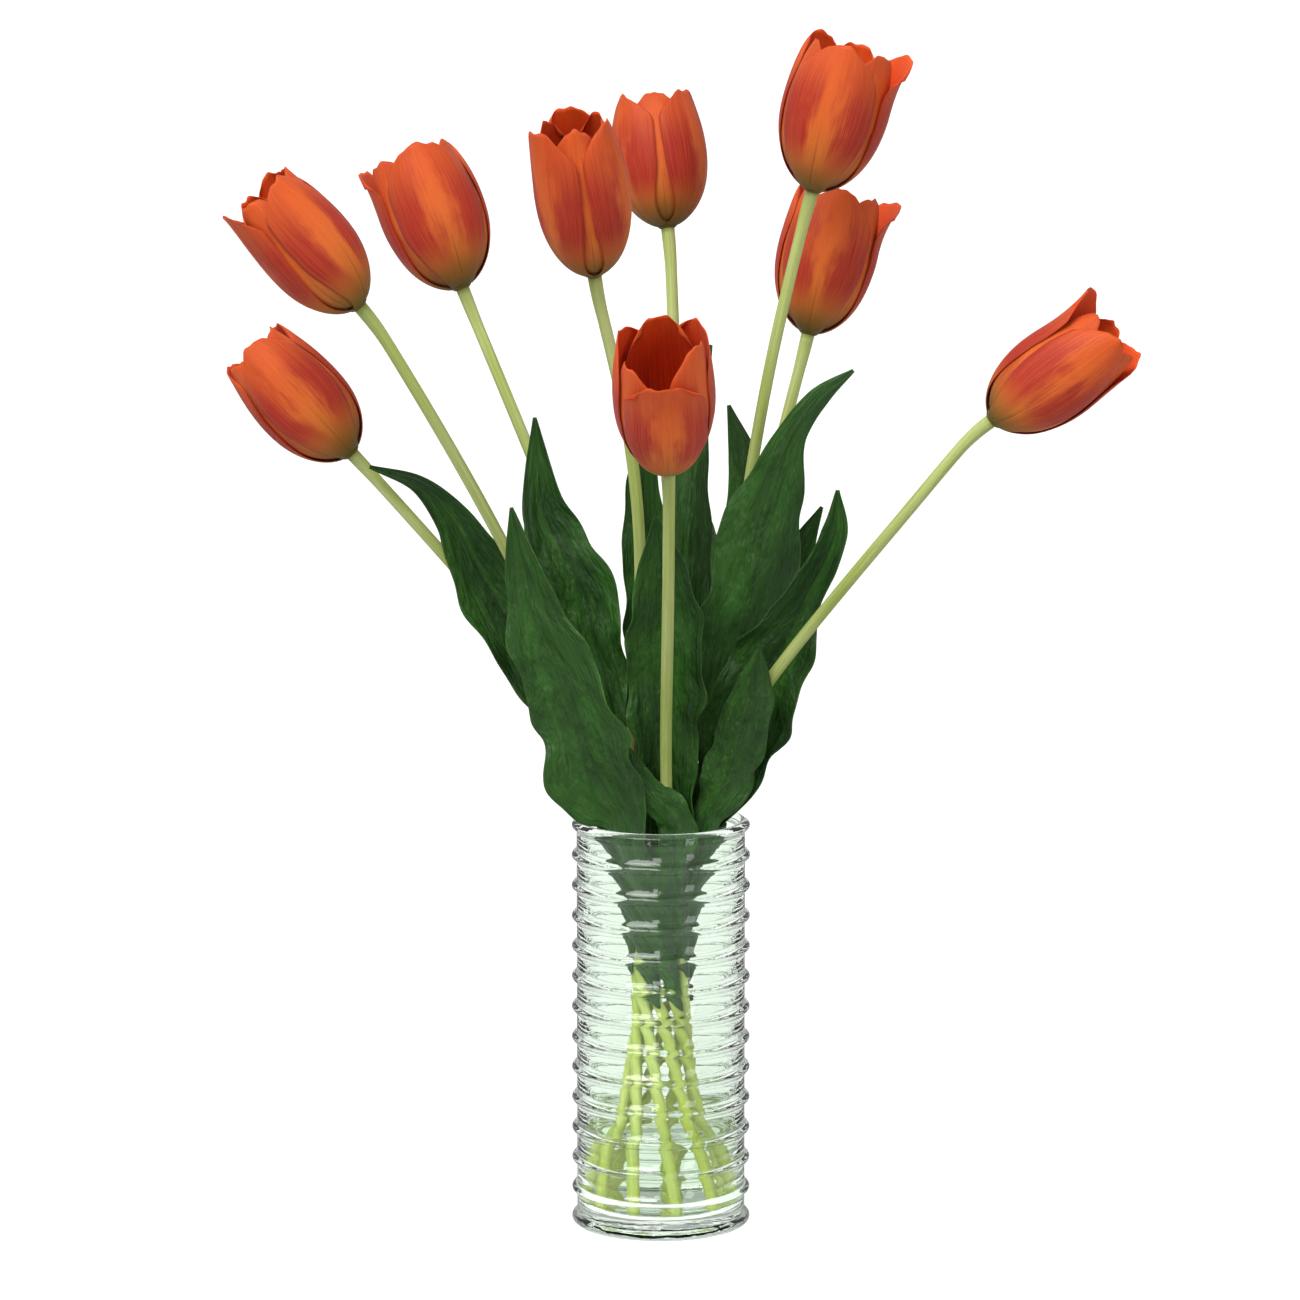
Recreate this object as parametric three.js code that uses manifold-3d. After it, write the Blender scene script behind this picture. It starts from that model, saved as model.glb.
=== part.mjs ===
// Nine tulips with their leaves, standing in a ribbed glass cylinder that is part filled with water.
// Millimetres, +Z up. The origin is the middle of the vase's underside, and -Y is the front.
import * as THREE from 'three';
import Module from 'manifold-3d';
import { mergeVertices } from 'three/addons/utils/BufferGeometryUtils.js';

const wasm = await Module();
wasm.setup();

// Driving dimensions
const vase = {
  height: 232,
  wallRadius: 47.4, // outside of the wall between the ribs
  wall: 3.4,
  floor: 10,
  ribs: 12, // between the beaded rim and the beaded foot
  ribReach: 2.9,
  ribHalf: 2.9, // half the height of a rib
  ribFlat: 0.4, // share of that taken by half of its crown
  crown: 0.25, // how much less an inner rib reaches than the foot
  facets: 24,
};
const gap = 0.3; // between pieces that touch
const water = { depth: 44, corner: 4.3 }; // corner is the bevel round its lower edge
const stemShape = {
  radius: 3.3,
  sides: 6,
  steps: 11,
  neck: 13, // length of each half of the bend below a bloom
  mouthHold: 0.22, // share of the way up that keeps the direction of the mouth
  neckHold: 0.55, // share of the way up that keeps the direction of the neck
};
const bunch = {
  footRadius: 33,
  mouthRadius: 27,
  mouthHeight: 226,
  twist: 125, // degrees that each stem turns round the bunch on its way down to its foot
};
const leafShape = {
  thick: 1,
  clear: 0.6, // room left between a sheath and its stem, beyond the gap
  rises: [0, 14, 28], // heights of the sheath's rows over the foot
  halves: [5, 5.2, 6], // half widths there
  across: 4,
  along: 10,
  alongSmall: 8,
  ripples: 20, // radians of ripple from foot to tip
  offset: 1.8, // radians between the ripples of the two edges
};
const petalShape = {
  thick: 0.8,
  across: 4,
  along: 5,
  foot: 2.5, // height of the petals' feet over the stem's end
  inner: 0.98, // length of an inner petal for each unit of an outer one's
  crowd: 1.35, // how much closer the rows of points lie at the foot
  tip: 0.6, // share of the length at which the tip begins
  belly: 0.56, // how low the widest place of the cup lies
  narrow: 0.2, // share of the width at the foot
  dip: 1.4, // how much lower an outer petal's foot reaches
  proud: 1.6, // how far an outer petal stands outside the cup
  sink: 1.2, // how far the edges of an inner petal bend inwards
  width: 0.96, // half width for each unit of the bloom's radius
  taper: 0.45, // share of the width lost at the tip
  round: 0.13, // share of the length by which the corners of the tip fall short
};

const deg = Math.PI / 180;
const vec = (x, y, z) => new THREE.Vector3(x, y, z);
const polar = (radius, angle, z) => vec(radius * Math.cos(angle * deg), radius * Math.sin(angle * deg), z);
const lean = ([x, y]) => vec(x, y, 1).normalize();
const { lerp, clamp, smoothstep } = THREE.MathUtils;

// The nine tulips, each in its own place round the mouth. head is the foot of the bloom, and stemLean and
// bloomLean are sideways travel for each unit of height. turn spins the bloom and open spreads its lip. flare
// bends the tips of its six petals outwards and low shortens them by a share, beginning with the outer petal
// that turn points at.
const tulips = [
  { slot: 160, head: [-172, 15, 436], stemLean: [-0.9, 0.05], bloomLean: [-0.94, 0.08],
    length: 84, radius: 24.5, turn: 8, open: 0.75, flare: [0, 0, 1, 0, 0, 1] },
  { slot: 200, head: [-163, -62, 526], stemLean: [-0.58, -0.25], bloomLean: [-0.85, -0.12],
    length: 86, radius: 24.5, turn: 38, open: 0.73, flare: [0, 1, 0, 0, 3, 1] },
  { slot: 120, head: [-112.5, 85, 522], stemLean: [-0.43, 0.28], bloomLean: [-0.4, 0.17],
    length: 85, radius: 28.3, turn: 14, open: 0.7, flare: [1, 1, 0, 0, 6, 2] },
  { slot: 240, head: [-36, -75, 544], stemLean: [-0.26, -0.22], bloomLean: [-0.14, -0.28],
    length: 91, radius: 24, turn: 64, open: 0.73, flare: [0, 0, 0, 0, 3, 0] },
  { slot: 80, head: [4, 85, 556.5], stemLean: [-0.04, 0.24], bloomLean: [-0.12, 0.22],
    length: 77.5, radius: 25, turn: 62, open: 0.73, flare: [0, 1, 0, 0, 0, 0] },
  { slot: 0, head: [83.5, 10, 583], stemLean: [0.25, 0], bloomLean: [0.27, -0.07],
    length: 86, radius: 28, turn: -12, open: 0.69, flare: [0, 1, 8, 1, 0, 0] },
  { slot: 40, head: [83.5, 75, 497], stemLean: [0.27, 0.22], bloomLean: [0.24, 0.12],
    length: 85, radius: 26.5, turn: -6, open: 0.7, flare: [0, 2, 11, 2, 0, 0] },
  { slot: 320, head: [178, -80, 466], stemLean: [0.78, -0.25], bloomLean: [1.32, -0.28],
    length: 86, radius: 23.8, turn: 6, open: 0.74, flare: [0, 0, 3, 0, 8, 1] },
  { slot: 280, head: [3.5, -128, 445], stemLean: [0, -0.52], bloomLean: [-0.05, -0.56],
    length: 91, radius: 25.2, turn: 0, open: 0.68, flare: [6, 1, 1, 0, 1, 1],
    low: [0.18, 0, 0.03, 0.02, 0.07, 0.13] },
];

// The leaves. Each sheathes a stem from the height foot, on the side given as a plan angle, and then follows
// its midrib of [x, y, z, half width] to the tip. face is the way its upper side looks there, fold is how
// far, in degrees, its edges turn up, and wave is how far they ripple.
const leaves = [
  { stem: 2, side: 110, foot: 172, face: [0.1, -1, 0.4], fold: 24, wave: 3.5,
    midrib: [[-30, 1, 232, 8], [-42, 2, 260, 14], [-61, 3, 302, 16], [-86, 2, 343, 20], [-104, 0, 376, 17],
      [-116, -2, 401, 10.5], [-135, -2, 421, 5.5], [-162, 0, 431, 1]] },
  { stem: 4, side: 240, foot: 160, face: [0.35, 1, -0.1], fold: -14, wave: 4,
    midrib: [[-16, -29, 212, 11], [-20, -32, 236, 15], [-29, -36, 252, 23], [-38, -41, 272, 26],
      [-44, -44, 294, 25], [-52, -46, 317, 24], [-66, -49, 350, 18], [-75, -50, 382, 11],
      [-82, -50, 415, 1]] },
  { stem: 1, side: 340, foot: 185, face: [0.1, -1, 0.1], fold: 20, wave: 3,
    midrib: [[-16, 12, 246, 8], [-25, 14, 286, 13], [-36, 18, 325, 15], [-43, 23, 356, 17.5],
      [-55, 27, 380, 17], [-66, 32, 402, 13], [-69, 36, 426, 7.5], [-71, 40, 454, 1]] },
  { stem: 5, side: 260, foot: 185, face: [0, 1, -0.1], fold: 20, wave: 2.5, small: true,
    midrib: [[7, 18, 246, 7], [12, 19, 296, 11], [16, 22, 353, 12.5], [17, 26, 398, 11], [18, 30, 431, 9],
      [22, 36, 464, 5], [28, 40, 495, 1]] },
  { stem: 4, side: 60, foot: 198, face: [0, -1, 0.2], fold: 20, wave: 2.5, small: true,
    midrib: [[-8, -14, 245, 7], [-7, -18, 303, 12], [-7, -24, 360, 13.5], [-9, -28, 394, 12.5],
      [-10, -32, 428, 9], [-6, -34, 461, 1]] },
  { stem: 9, side: 95, foot: 180, face: [0, -1, 0.2], fold: 26, wave: 4,
    midrib: [[4, -22, 240, 14], [3, -32, 282, 18], [2, -40, 318, 22], [2, -48, 352, 21], [0, -58, 387, 13],
      [-3, -66, 412, 1]] },
  { stem: 6, side: 262, foot: 190, face: [-0.1, 1, -0.1], fold: 16, wave: 3.5,
    midrib: [[29, -7.5, 240, 10], [37, -9, 285, 19], [41, -10, 318, 24], [48, -11, 348, 26],
      [53, -13, 377, 25], [58, -14, 404, 21.5], [65, -16, 428, 14.5], [73, -18, 452, 8.5], [87, -20, 472, 6],
      [106, -20, 487, 1]] },
  { stem: 7, side: 215, foot: 200, face: [0, 1, -0.1], fold: 20, wave: 2, small: true,
    midrib: [[19, 9, 245, 6], [28, 12, 280, 8], [37, 15, 326, 11], [43, 19, 370, 12], [47, 23, 402, 10.5],
      [46, 27, 432, 8.5], [38, 31, 462, 1]] },
  { stem: 6, side: 62, foot: 195, face: [-0.3, -0.9, 0.2], fold: 22, wave: 2, small: true,
    midrib: [[34, 5, 240, 5.5], [46, 9, 270, 8], [56, 11, 300, 12], [63, 12, 333, 12.5], [71, 12, 360, 10.5],
      [80, 12, 385, 7.5], [90, 12, 407, 1]] },
  { stem: 8, side: 64, foot: 182, face: [-0.1, -1, 0.2], fold: 18, wave: 4,
    midrib: [[27, -13, 236, 13], [38, -16, 258, 18], [45, -19, 283, 24], [53, -21, 304, 25],
      [63, -24, 326, 22], [73, -27, 347, 16], [80, -29, 363, 10], [89, -33, 381, 9], [96, -37, 400, 7.5],
      [97, -38, 423, 1]] },
  { stem: 3, side: 135, foot: 150, face: [0.5, -1, 0.3], fold: 22, wave: 3,
    midrib: [[-23, 34, 238, 11], [-36, 52, 280, 18], [-50, 70, 318, 20], [-62, 86, 348, 16],
      [-71, 99, 370, 9], [-78, 108, 384, 1]] },
  { stem: 5, side: 82, foot: 165, face: [0, -1, 0.4], fold: 22, wave: 3.5,
    midrib: [[6, 38, 240, 8], [12, 55, 280, 16], [16, 76, 326, 21], [18, 94, 360, 18], [20, 108, 382, 11],
      [22, 120, 396, 1]] },
  { stem: 7, side: 45, foot: 150, face: [-0.7, -0.7, 0.3], fold: 22, wave: 3,
    midrib: [[29, 27, 238, 10], [43, 45, 280, 16], [55, 63, 322, 19], [64, 80, 360, 17], [69, 92, 392, 10],
      [71, 98, 417, 1]] },
  { stem: 9, side: 270, foot: 170, face: [0.25, 1, -0.1], fold: 16, wave: 0.5, small: true,
    midrib: [[7, -33, 214, 9], [8, -38, 236, 11.5], [0, -40.3, 248, 10.5], [-6, -40.8, 255, 7.5],
      [-11, -40.5, 262, 6], [-16, -40, 271, 5], [-21, -40, 283, 1]] },
  { stem: 8, side: 250, foot: 172, face: [0.1, 1, -0.1], fold: 22, wave: 1.5, small: true,
    midrib: [[21.5, -23.5, 216, 8], [25, -28.5, 236, 8.5], [33, -34, 253, 14], [39, -39, 270, 15],
      [44, -44, 288, 15], [49, -48, 306, 13], [52, -51, 322, 8], [54, -53, 337, 1]] },
];

// Light green glass and water, pale stems, deep green leaves and orange-red petals.
const glassy = { roughness: 0.04, transparent: true };
const finish = {
  glass: new THREE.MeshStandardMaterial({ ...glassy, color: 0xdfeee2, opacity: 0.35 }),
  water: new THREE.MeshStandardMaterial({ ...glassy, color: 0xe2efe0, opacity: 0.3 }),
  stem: new THREE.MeshStandardMaterial({ color: 0xa9b766, roughness: 0.5 }),
  leaf: new THREE.MeshStandardMaterial({ color: 0x2c5a1f, roughness: 0.5, side: THREE.DoubleSide }),
  petal: new THREE.MeshStandardMaterial({ color: 0xd1502a, roughness: 0.6, side: THREE.DoubleSide }),
  pistil: new THREE.MeshStandardMaterial({ color: 0xb9bd6a, roughness: 0.6 }),
  stamen: new THREE.MeshStandardMaterial({ color: 0x3a2430, roughness: 0.8 }),
};

// A closed three.js geometry as a solid, and back.
function solid(geometry) {
  const bare = geometry.index ? geometry.toNonIndexed() : geometry.clone();
  bare.deleteAttribute('normal');
  bare.deleteAttribute('uv');
  const merged = mergeVertices(bare, 1e-4);
  return new wasm.Manifold(new wasm.Mesh({
    numProp: 3,
    vertProperties: new Float32Array(merged.attributes.position.array),
    triVerts: new Uint32Array(merged.index.array),
  }));
}

function geometryOf(body) {
  const { numProp, numVert, vertProperties, triVerts } = body.getMesh();
  const places = new Float32Array(numVert * 3);
  for (let i = 0; i < numVert; i++) {
    places.set(vertProperties.subarray(i * numProp, i * numProp + 3), i * 3);
  }
  const geometry = new THREE.BufferGeometry();
  geometry.setAttribute('position', new THREE.BufferAttribute(places, 3));
  geometry.setIndex(new THREE.BufferAttribute(triVerts, 1));
  return geometry;
}

const bouquet = new THREE.Group();

function add(name, geometry, material) {
  const mesh = new THREE.Mesh(geometry, material);
  mesh.name = name;
  bouquet.add(mesh);
}

// A turned body. The profile runs from the axis, up the outside and back to the axis.
function turned(profile, sides) {
  const points = profile.map(([radius, z]) => new THREE.Vector2(radius, z));
  return new THREE.LatheGeometry(points, sides).rotateX(Math.PI / 2);
}

// A round rod of a few flat sides along a curve.
function rod(curve, radius, sides, steps) {
  const section = new THREE.Shape();
  for (let side = 0; side < sides; side++) {
    const angle = (2 * Math.PI * side) / sides;
    section[side ? 'lineTo' : 'moveTo'](radius * Math.cos(angle), radius * Math.sin(angle));
  }
  return new THREE.ExtrudeGeometry(section, { steps, extrudePath: curve, curveSegments: 1 });
}

// A thin blade: a grid of points with the same triangles on both faces, thick either side of its middle.
function blade(place, across, along, thick) {
  const columns = across + 1;
  const middle = [];
  for (let row = 0; row <= along; row++) {
    for (let column = 0; column <= across; column++) {
      middle.push(place((2 * column) / across - 1, row / along));
    }
  }
  const at = (row, column) => middle[clamp(row, 0, along) * columns + clamp(column, 0, across)];
  const faces = [[], []];
  for (let row = 0; row <= along; row++) {
    for (let column = 0; column <= across; column++) {
      const over = at(row, column + 1).clone().sub(at(row, column - 1));
      const up = at(row + 1, column).clone().sub(at(row - 1, column));
      const half = over.cross(up).setLength(thick / 2);
      faces[0].push(at(row, column).clone().add(half));
      faces[1].push(at(row, column).clone().sub(half));
    }
  }
  const count = middle.length;
  const triangles = [];
  for (let row = 0; row < along; row++) {
    for (let column = 0; column < across; column++) {
      const a = row * columns + column;
      const [b, c, d] = [a + 1, a + columns + 1, a + columns];
      triangles.push(a, b, c, a, c, d, count + a, count + c, count + b, count + a, count + d, count + c);
    }
  }
  const bottom = Array.from({ length: across }, (_, column) => column);
  const right = Array.from({ length: along }, (_, row) => row * columns + across);
  const top = bottom.map((column) => along * columns + across - column);
  const left = right.map((_, row) => (along - row) * columns);
  const rim = [...bottom, ...right, ...top, ...left];
  rim.forEach((a, i) => {
    const b = rim[(i + 1) % rim.length];
    triangles.push(a, count + a, b, b, count + a, count + b);
  });
  return new THREE.BufferGeometry().setFromPoints([...faces[0], ...faces[1]]).setIndex(triangles);
}

// The vase: a straight wall with even round ribs, a beaded rim and a thick floor with a beaded foot.
function vaseGeometry() {
  const { height, wallRadius, wall, floor, ribs, ribReach, ribHalf, ribFlat, crown, facets } = vase;
  const reach = wallRadius + ribReach;
  const inside = wallRadius - wall;
  const pitch = (height - 2 * ribHalf) / (ribs + 1);
  const profile = [[0, 0], [wallRadius - 1.5, 0], [reach - 0.6, ribHalf * 0.45], [reach, ribHalf * 1.2],
    [wallRadius, ribHalf * 2.1]];
  const edge = ribHalf * ribFlat;
  for (let rib = 1; rib <= ribs; rib++) {
    const z = ribHalf + rib * pitch;
    profile.push([wallRadius, z - ribHalf], [reach - crown, z - edge]);
    profile.push([reach - crown, z + edge], [wallRadius, z + ribHalf]);
  }
  const rim = height - ribHalf;
  profile.push([wallRadius, rim - ribHalf], [reach - crown, rim - edge]);
  profile.push([reach - 0.8, rim + 1.5 * edge], [wallRadius - 1, height], [inside, height - 1.6]);
  profile.push([inside, floor + 4], [inside - 4, floor], [0, floor]);
  return turned(profile, facets);
}

// The straight part of a stem, from its foot on the floor of the vase to the mouth.
function stemFoot({ slot }) {
  const foot = polar(bunch.footRadius, slot + bunch.twist, vase.floor + gap + stemShape.radius / 4);
  return new THREE.LineCurve3(foot, polar(bunch.mouthRadius, slot, bunch.mouthHeight));
}

// Above the mouth a stem bends out of the bunch, and at its neck it turns up into the bloom.
function stemCurve(tulip) {
  const { neck, mouthHold, neckHold } = stemShape;
  const straight = stemFoot(tulip);
  const mouth = straight.v2;
  const top = vec(...tulip.head);
  const bend = top.clone().addScaledVector(lean(tulip.bloomLean), -neck);
  const low = bend.clone().addScaledVector(lean(tulip.stemLean), -neck);
  const reach = low.distanceTo(mouth);
  const leaving = mouth.clone().addScaledVector(straight.getTangent(0), mouthHold * reach);
  const arriving = low.clone().addScaledVector(lean(tulip.stemLean), -neckHold * reach);
  const sweep = new THREE.CubicBezierCurve3(mouth, leaving, arriving, low);
  const turn = new THREE.QuadraticBezierCurve3(low, bend, top);
  return new THREE.CatmullRomCurve3([...straight.getPoints(4), ...sweep.getPoints(8).slice(1),
    ...turn.getPoints(3).slice(1)]);
}

// The middle of a stem at the height z.
function stemAt(curve, z) {
  let [low, high] = [0, 1];
  for (let step = 0; step < 30; step++) {
    const middle = (low + high) / 2;
    if (curve.getPoint(middle).z < z) low = middle;
    else high = middle;
  }
  return curve.getPoint(low);
}

// A leaf: a channel round the stem at its foot, opening to a broad waved blade with a fine tip.
function leafPlace(leaf, stem) {
  const { thick, clear, rises, halves, ripples, offset } = leafShape;
  const outward = polar(1, leaf.side, 0);
  const open = vec(...leaf.face).normalize();
  const seat = stemShape.radius + gap + thick / 2 + clear;
  const sheath = rises.map((rise) => stemAt(stem, leaf.foot + rise).addScaledVector(outward, seat));
  const spine = new THREE.CatmullRomCurve3([...sheath, ...leaf.midrib.map(([x, y, z]) => vec(x, y, z))]);
  const widths = [...halves, ...leaf.midrib.map((point) => point[3])];
  const width = new THREE.CatmullRomCurve3(widths.map((half) => vec(half, 0, 0)));
  return (q, v) => {
    const t = spine.getUtoTmapping(v);
    const forward = spine.getTangent(t);
    const facing = outward.clone().negate().lerp(open, smoothstep(v, 0.2, 0.5));
    const side = forward.clone().cross(facing).normalize();
    const face = side.clone().cross(forward);
    const half = Math.max(width.getPoint(t).x, 0.8);
    const arc = lerp(Math.min(half / seat, 1.25), leaf.fold * deg, smoothstep(v, 0, 0.4));
    const swing = Math.sin(ripples * v + offset * Math.sign(q) + leaf.side);
    const ripple = leaf.wave * Math.sin(Math.PI * v) * q * q * swing;
    return spine.getPoint(t)
      .addScaledVector(side, (half * Math.sin(arc * q)) / arc)
      .addScaledVector(face, (half * (1 - Math.cos(arc * q))) / arc + ripple);
  };
}

// A petal in the bloom's own frame, with its axis on +Z and the stem's end at the origin. Three outer petals
// stand outside the three inner ones.
function petalPlace(tulip, index) {
  const { foot, inner, crowd, tip, belly, narrow, dip, proud, sink, width, taper, round } = petalShape;
  const outer = index % 2 === 0;
  const middle = (tulip.turn + 60 * index) * deg;
  const long = (tulip.length - foot) * (outer ? 1 : inner) * (1 - (tulip.low?.[index] ?? 0));
  return (q, v) => {
    const s = lerp(0.012, 1, v ** crowd);
    const nearTip = Math.max((s - tip) / (1 - tip), 0);
    const swell = tulip.radius * Math.sin(Math.PI * tulip.open * s ** belly);
    const fill = lerp(narrow, 1, Math.sin((Math.min(2 * s, 1) * Math.PI) / 2));
    const half = width * tulip.radius * fill * (1 - taper * nearTip ** 2.4);
    const angle = middle + (q * half) / Math.max(swell, half / 0.98);
    const layer = outer ? proud + 0.6 * s ** 3 : -sink * (q * q + s ** 3);
    const radius = swell + layer + tulip.flare[index] * nearTip ** 2;
    const start = foot - (outer ? dip * (1 - s) ** 6 : 0);
    return polar(radius, angle / deg, start + long * (s - round * q * q * s ** 3));
  };
}

// Turns a bloom's own frame to its place: +Z along its lean, +X towards the front.
function bloomFrame({ head, bloomLean }) {
  const up = lean(bloomLean);
  const front = vec(0, -1, 0).addScaledVector(up, up.y).normalize();
  return new THREE.Matrix4().makeBasis(front, up.clone().cross(front), up).setPosition(...head);
}

// A bloom: six petals on a small cup. Where petals cross inside it, small pockets close off, and the
// largest piece of the sum is the bloom itself.
function bloomGeometry(tulip) {
  const { across, along, thick } = petalShape;
  let body = solid(turned([[0, gap], [4, gap], [8, 3], [0, 5.2]], 6));
  for (let index = 0; index < 6; index++) {
    body = body.add(solid(blade(petalPlace(tulip, index), across, along, thick)));
  }
  const pieces = body.decompose().sort((a, b) => b.volume() - a.volume());
  return geometryOf(pieces[0]).applyMatrix4(bloomFrame(tulip));
}

// The seed vessel, with the stigma on top.
function pistilGeometry(tulip) {
  const profile = [[0, 6.8], [2.6, 6.8], [2.9, 20], [4.6, 25], [0, 27]];
  return turned(profile, 5).applyMatrix4(bloomFrame(tulip));
}

// Six stamens on the disc that the seed vessel stands on.
function stamensGeometry(tulip) {
  let body = solid(turned([[0, 5.5], [5, 5.5], [5, 6.5], [0, 6.5]], 6));
  for (let index = 0; index < 6; index++) {
    const stamen = turned([[0, 0], [1.4, 10], [0, 20]], 3);
    stamen.rotateY(16 * deg).translate(4.2, 0, 5.8).rotateZ(60 * index * deg);
    body = body.add(solid(stamen));
  }
  return geometryOf(body).applyMatrix4(bloomFrame(tulip));
}

// Water between the floor and its level, with a plain hole for each stem.
function waterGeometry() {
  const reach = vase.wallRadius - vase.wall - gap;
  const [bottom, level] = [vase.floor + gap, vase.floor + water.depth];
  const profile = [[0, bottom], [reach - water.corner, bottom], [reach, bottom + water.corner]];
  profile.push([reach, level], [0, level]);
  let body = solid(turned(profile, vase.facets));
  for (const tulip of tulips) {
    const straight = stemFoot(tulip);
    const hole = new THREE.LineCurve3(straight.getPoint(-0.05), straight.getPoint(0.3));
    body = body.subtract(solid(rod(hole, stemShape.radius + 2 * gap, 6, 1)));
  }
  return geometryOf(body);
}

add('vase', vaseGeometry(), finish.glass);
add('water', waterGeometry(), finish.water);
tulips.forEach((tulip, index) => {
  const number = index + 1;
  const { radius, sides, steps } = stemShape;
  add(`stem_${number}`, rod(stemCurve(tulip), radius, sides, steps), finish.stem);
  add(`bloom_${number}`, bloomGeometry(tulip), finish.petal);
  add(`pistil_${number}`, pistilGeometry(tulip), finish.pistil);
  add(`stamens_${number}`, stamensGeometry(tulip), finish.stamen);
});
leaves.forEach((leaf, index) => {
  const { across, along, alongSmall, thick } = leafShape;
  const place = leafPlace(leaf, stemCurve(tulips[leaf.stem - 1]));
  add(`leaf_${index + 1}`, blade(place, across, leaf.small ? alongSmall : along, thick), finish.leaf);
});

export default bouquet;
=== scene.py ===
# %% [markdown]
# # Tulips in a ribbed glass cylinder
#
# Nine long-stemmed tulips fan out of a clear glass cylinder with water in its foot. The CAD model has
# already fixed where every stem, leaf and bloom is, with few flat faces. This lesson keeps those places and
# sizes and gives each piece its real surface. The model's box is kept, because the bouquet has to fill it.

# %% The frame
import math

import bpy
import numpy as np
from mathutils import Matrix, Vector


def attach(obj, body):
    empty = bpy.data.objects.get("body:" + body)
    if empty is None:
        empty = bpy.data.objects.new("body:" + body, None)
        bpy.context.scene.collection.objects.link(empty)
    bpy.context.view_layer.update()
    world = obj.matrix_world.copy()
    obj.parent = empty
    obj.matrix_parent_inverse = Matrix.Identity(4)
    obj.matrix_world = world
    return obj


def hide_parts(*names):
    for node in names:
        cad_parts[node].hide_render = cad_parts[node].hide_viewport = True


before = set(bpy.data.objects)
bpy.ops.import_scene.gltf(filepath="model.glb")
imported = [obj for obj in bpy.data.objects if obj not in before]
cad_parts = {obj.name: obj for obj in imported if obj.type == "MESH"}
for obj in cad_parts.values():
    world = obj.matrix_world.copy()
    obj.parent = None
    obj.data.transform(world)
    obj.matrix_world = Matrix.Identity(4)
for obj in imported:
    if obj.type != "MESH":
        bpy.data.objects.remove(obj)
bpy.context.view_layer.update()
MM = 0.001
DEG = math.pi / 180
print("CAD nodes:", len(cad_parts))

# %% [markdown]
# ## The camera
#
# The picture was taken from a little above, with a long lens from some metres away, so the stems hardly
# converge. A long lens on a camera that is pitched down nine degrees gives the same ellipses at the rim and
# the foot of the glass.

# %% The camera
CAMERA_PLACE = (-0.0061, -3.0, 0.810)
CAMERA_PITCH = 9.13  # degrees below the horizon
FOCAL_PIXELS = 5436
PICTURE_PIXELS = 1300

lens = bpy.data.cameras.new("camera")
lens.sensor_width = 36
lens.lens = lens.sensor_width * FOCAL_PIXELS / PICTURE_PIXELS
lens.clip_end = 100
camera = bpy.data.objects.new("camera", lens)
camera.location = CAMERA_PLACE
camera.rotation_euler = ((90 - CAMERA_PITCH) * DEG, 0, 0)
bpy.context.collection.objects.link(camera)
bpy.context.scene.camera = camera
print("lens:", round(lens.lens, 1), "mm")

# %% [markdown]
# ## The shared measures
#
# The same numbers drive the CAD solids and these finer pieces. All of them are millimetres: the size of the
# glass, the circle of stem feet, and one row for each tulip and each leaf. A tulip's row says where its
# bloom sits, how the stem and the bloom lean, and how long and wide the bloom is. A leaf's row says where it
# clasps its stem, and lists the points of its midrib with the half width at each.

# %% Sizes of the glass and the bunch
GLASS = {"height": 232, "radius": 47.4, "wall": 3.4, "floor": 10, "ribs": 12, "reach": 2.9, "half": 2.9}
GAP = 0.3  # stands in for contact
WATER_DEPTH = 44
STEM_RADIUS = 3.3
NECK = 13  # each half of the bend below a bloom
MOUTH_HOLD, NECK_HOLD = 0.22, 0.55  # how far a stem keeps its direction at the two ends of its sweep
FOOT_RADIUS, MOUTH_RADIUS, MOUTH_HEIGHT, TWIST = 33, 27, 226, 125
PETAL_FOOT = 2.5

TULIP_NAMES = ("slot", "head", "stem_lean", "bloom_lean", "length", "radius", "turn", "open", "flare",
               "low")  # a row that ends before low has petals of full length
TULIPS = [dict(zip(TULIP_NAMES, row)) for row in (
    (160, (-172, 15, 436), (-0.9, 0.05), (-0.94, 0.08), 84, 24.5, 8, 0.75, (0, 0, 1, 0, 0, 1)),
    (200, (-163, -62, 526), (-0.58, -0.25), (-0.85, -0.12), 86, 24.5, 38, 0.73, (0, 1, 0, 0, 3, 1)),
    (120, (-112.5, 85, 522), (-0.43, 0.28), (-0.4, 0.17), 85, 28.3, 14, 0.7, (1, 1, 0, 0, 6, 2)),
    (240, (-36, -75, 544), (-0.26, -0.22), (-0.14, -0.28), 91, 24, 64, 0.73, (0, 0, 0, 0, 3, 0)),
    (80, (4, 85, 556.5), (-0.04, 0.24), (-0.12, 0.22), 77.5, 25, 62, 0.73, (0, 1, 0, 0, 0, 0)),
    (0, (83.5, 10, 583), (0.25, 0), (0.27, -0.07), 86, 28, -12, 0.69, (0, 1, 8, 1, 0, 0)),
    (40, (83.5, 75, 497), (0.27, 0.22), (0.24, 0.12), 85, 26.5, -6, 0.7, (0, 2, 11, 2, 0, 0)),
    (320, (178, -80, 466), (0.78, -0.25), (1.32, -0.28), 86, 23.8, 6, 0.74, (0, 0, 3, 0, 8, 1)),
    (280, (3.5, -128, 445), (0, -0.52), (-0.05, -0.56), 91, 25.2, 0, 0.68, (6, 1, 1, 0, 1, 1),
     (0.18, 0, 0.03, 0.02, 0.07, 0.13)),
)]

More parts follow.
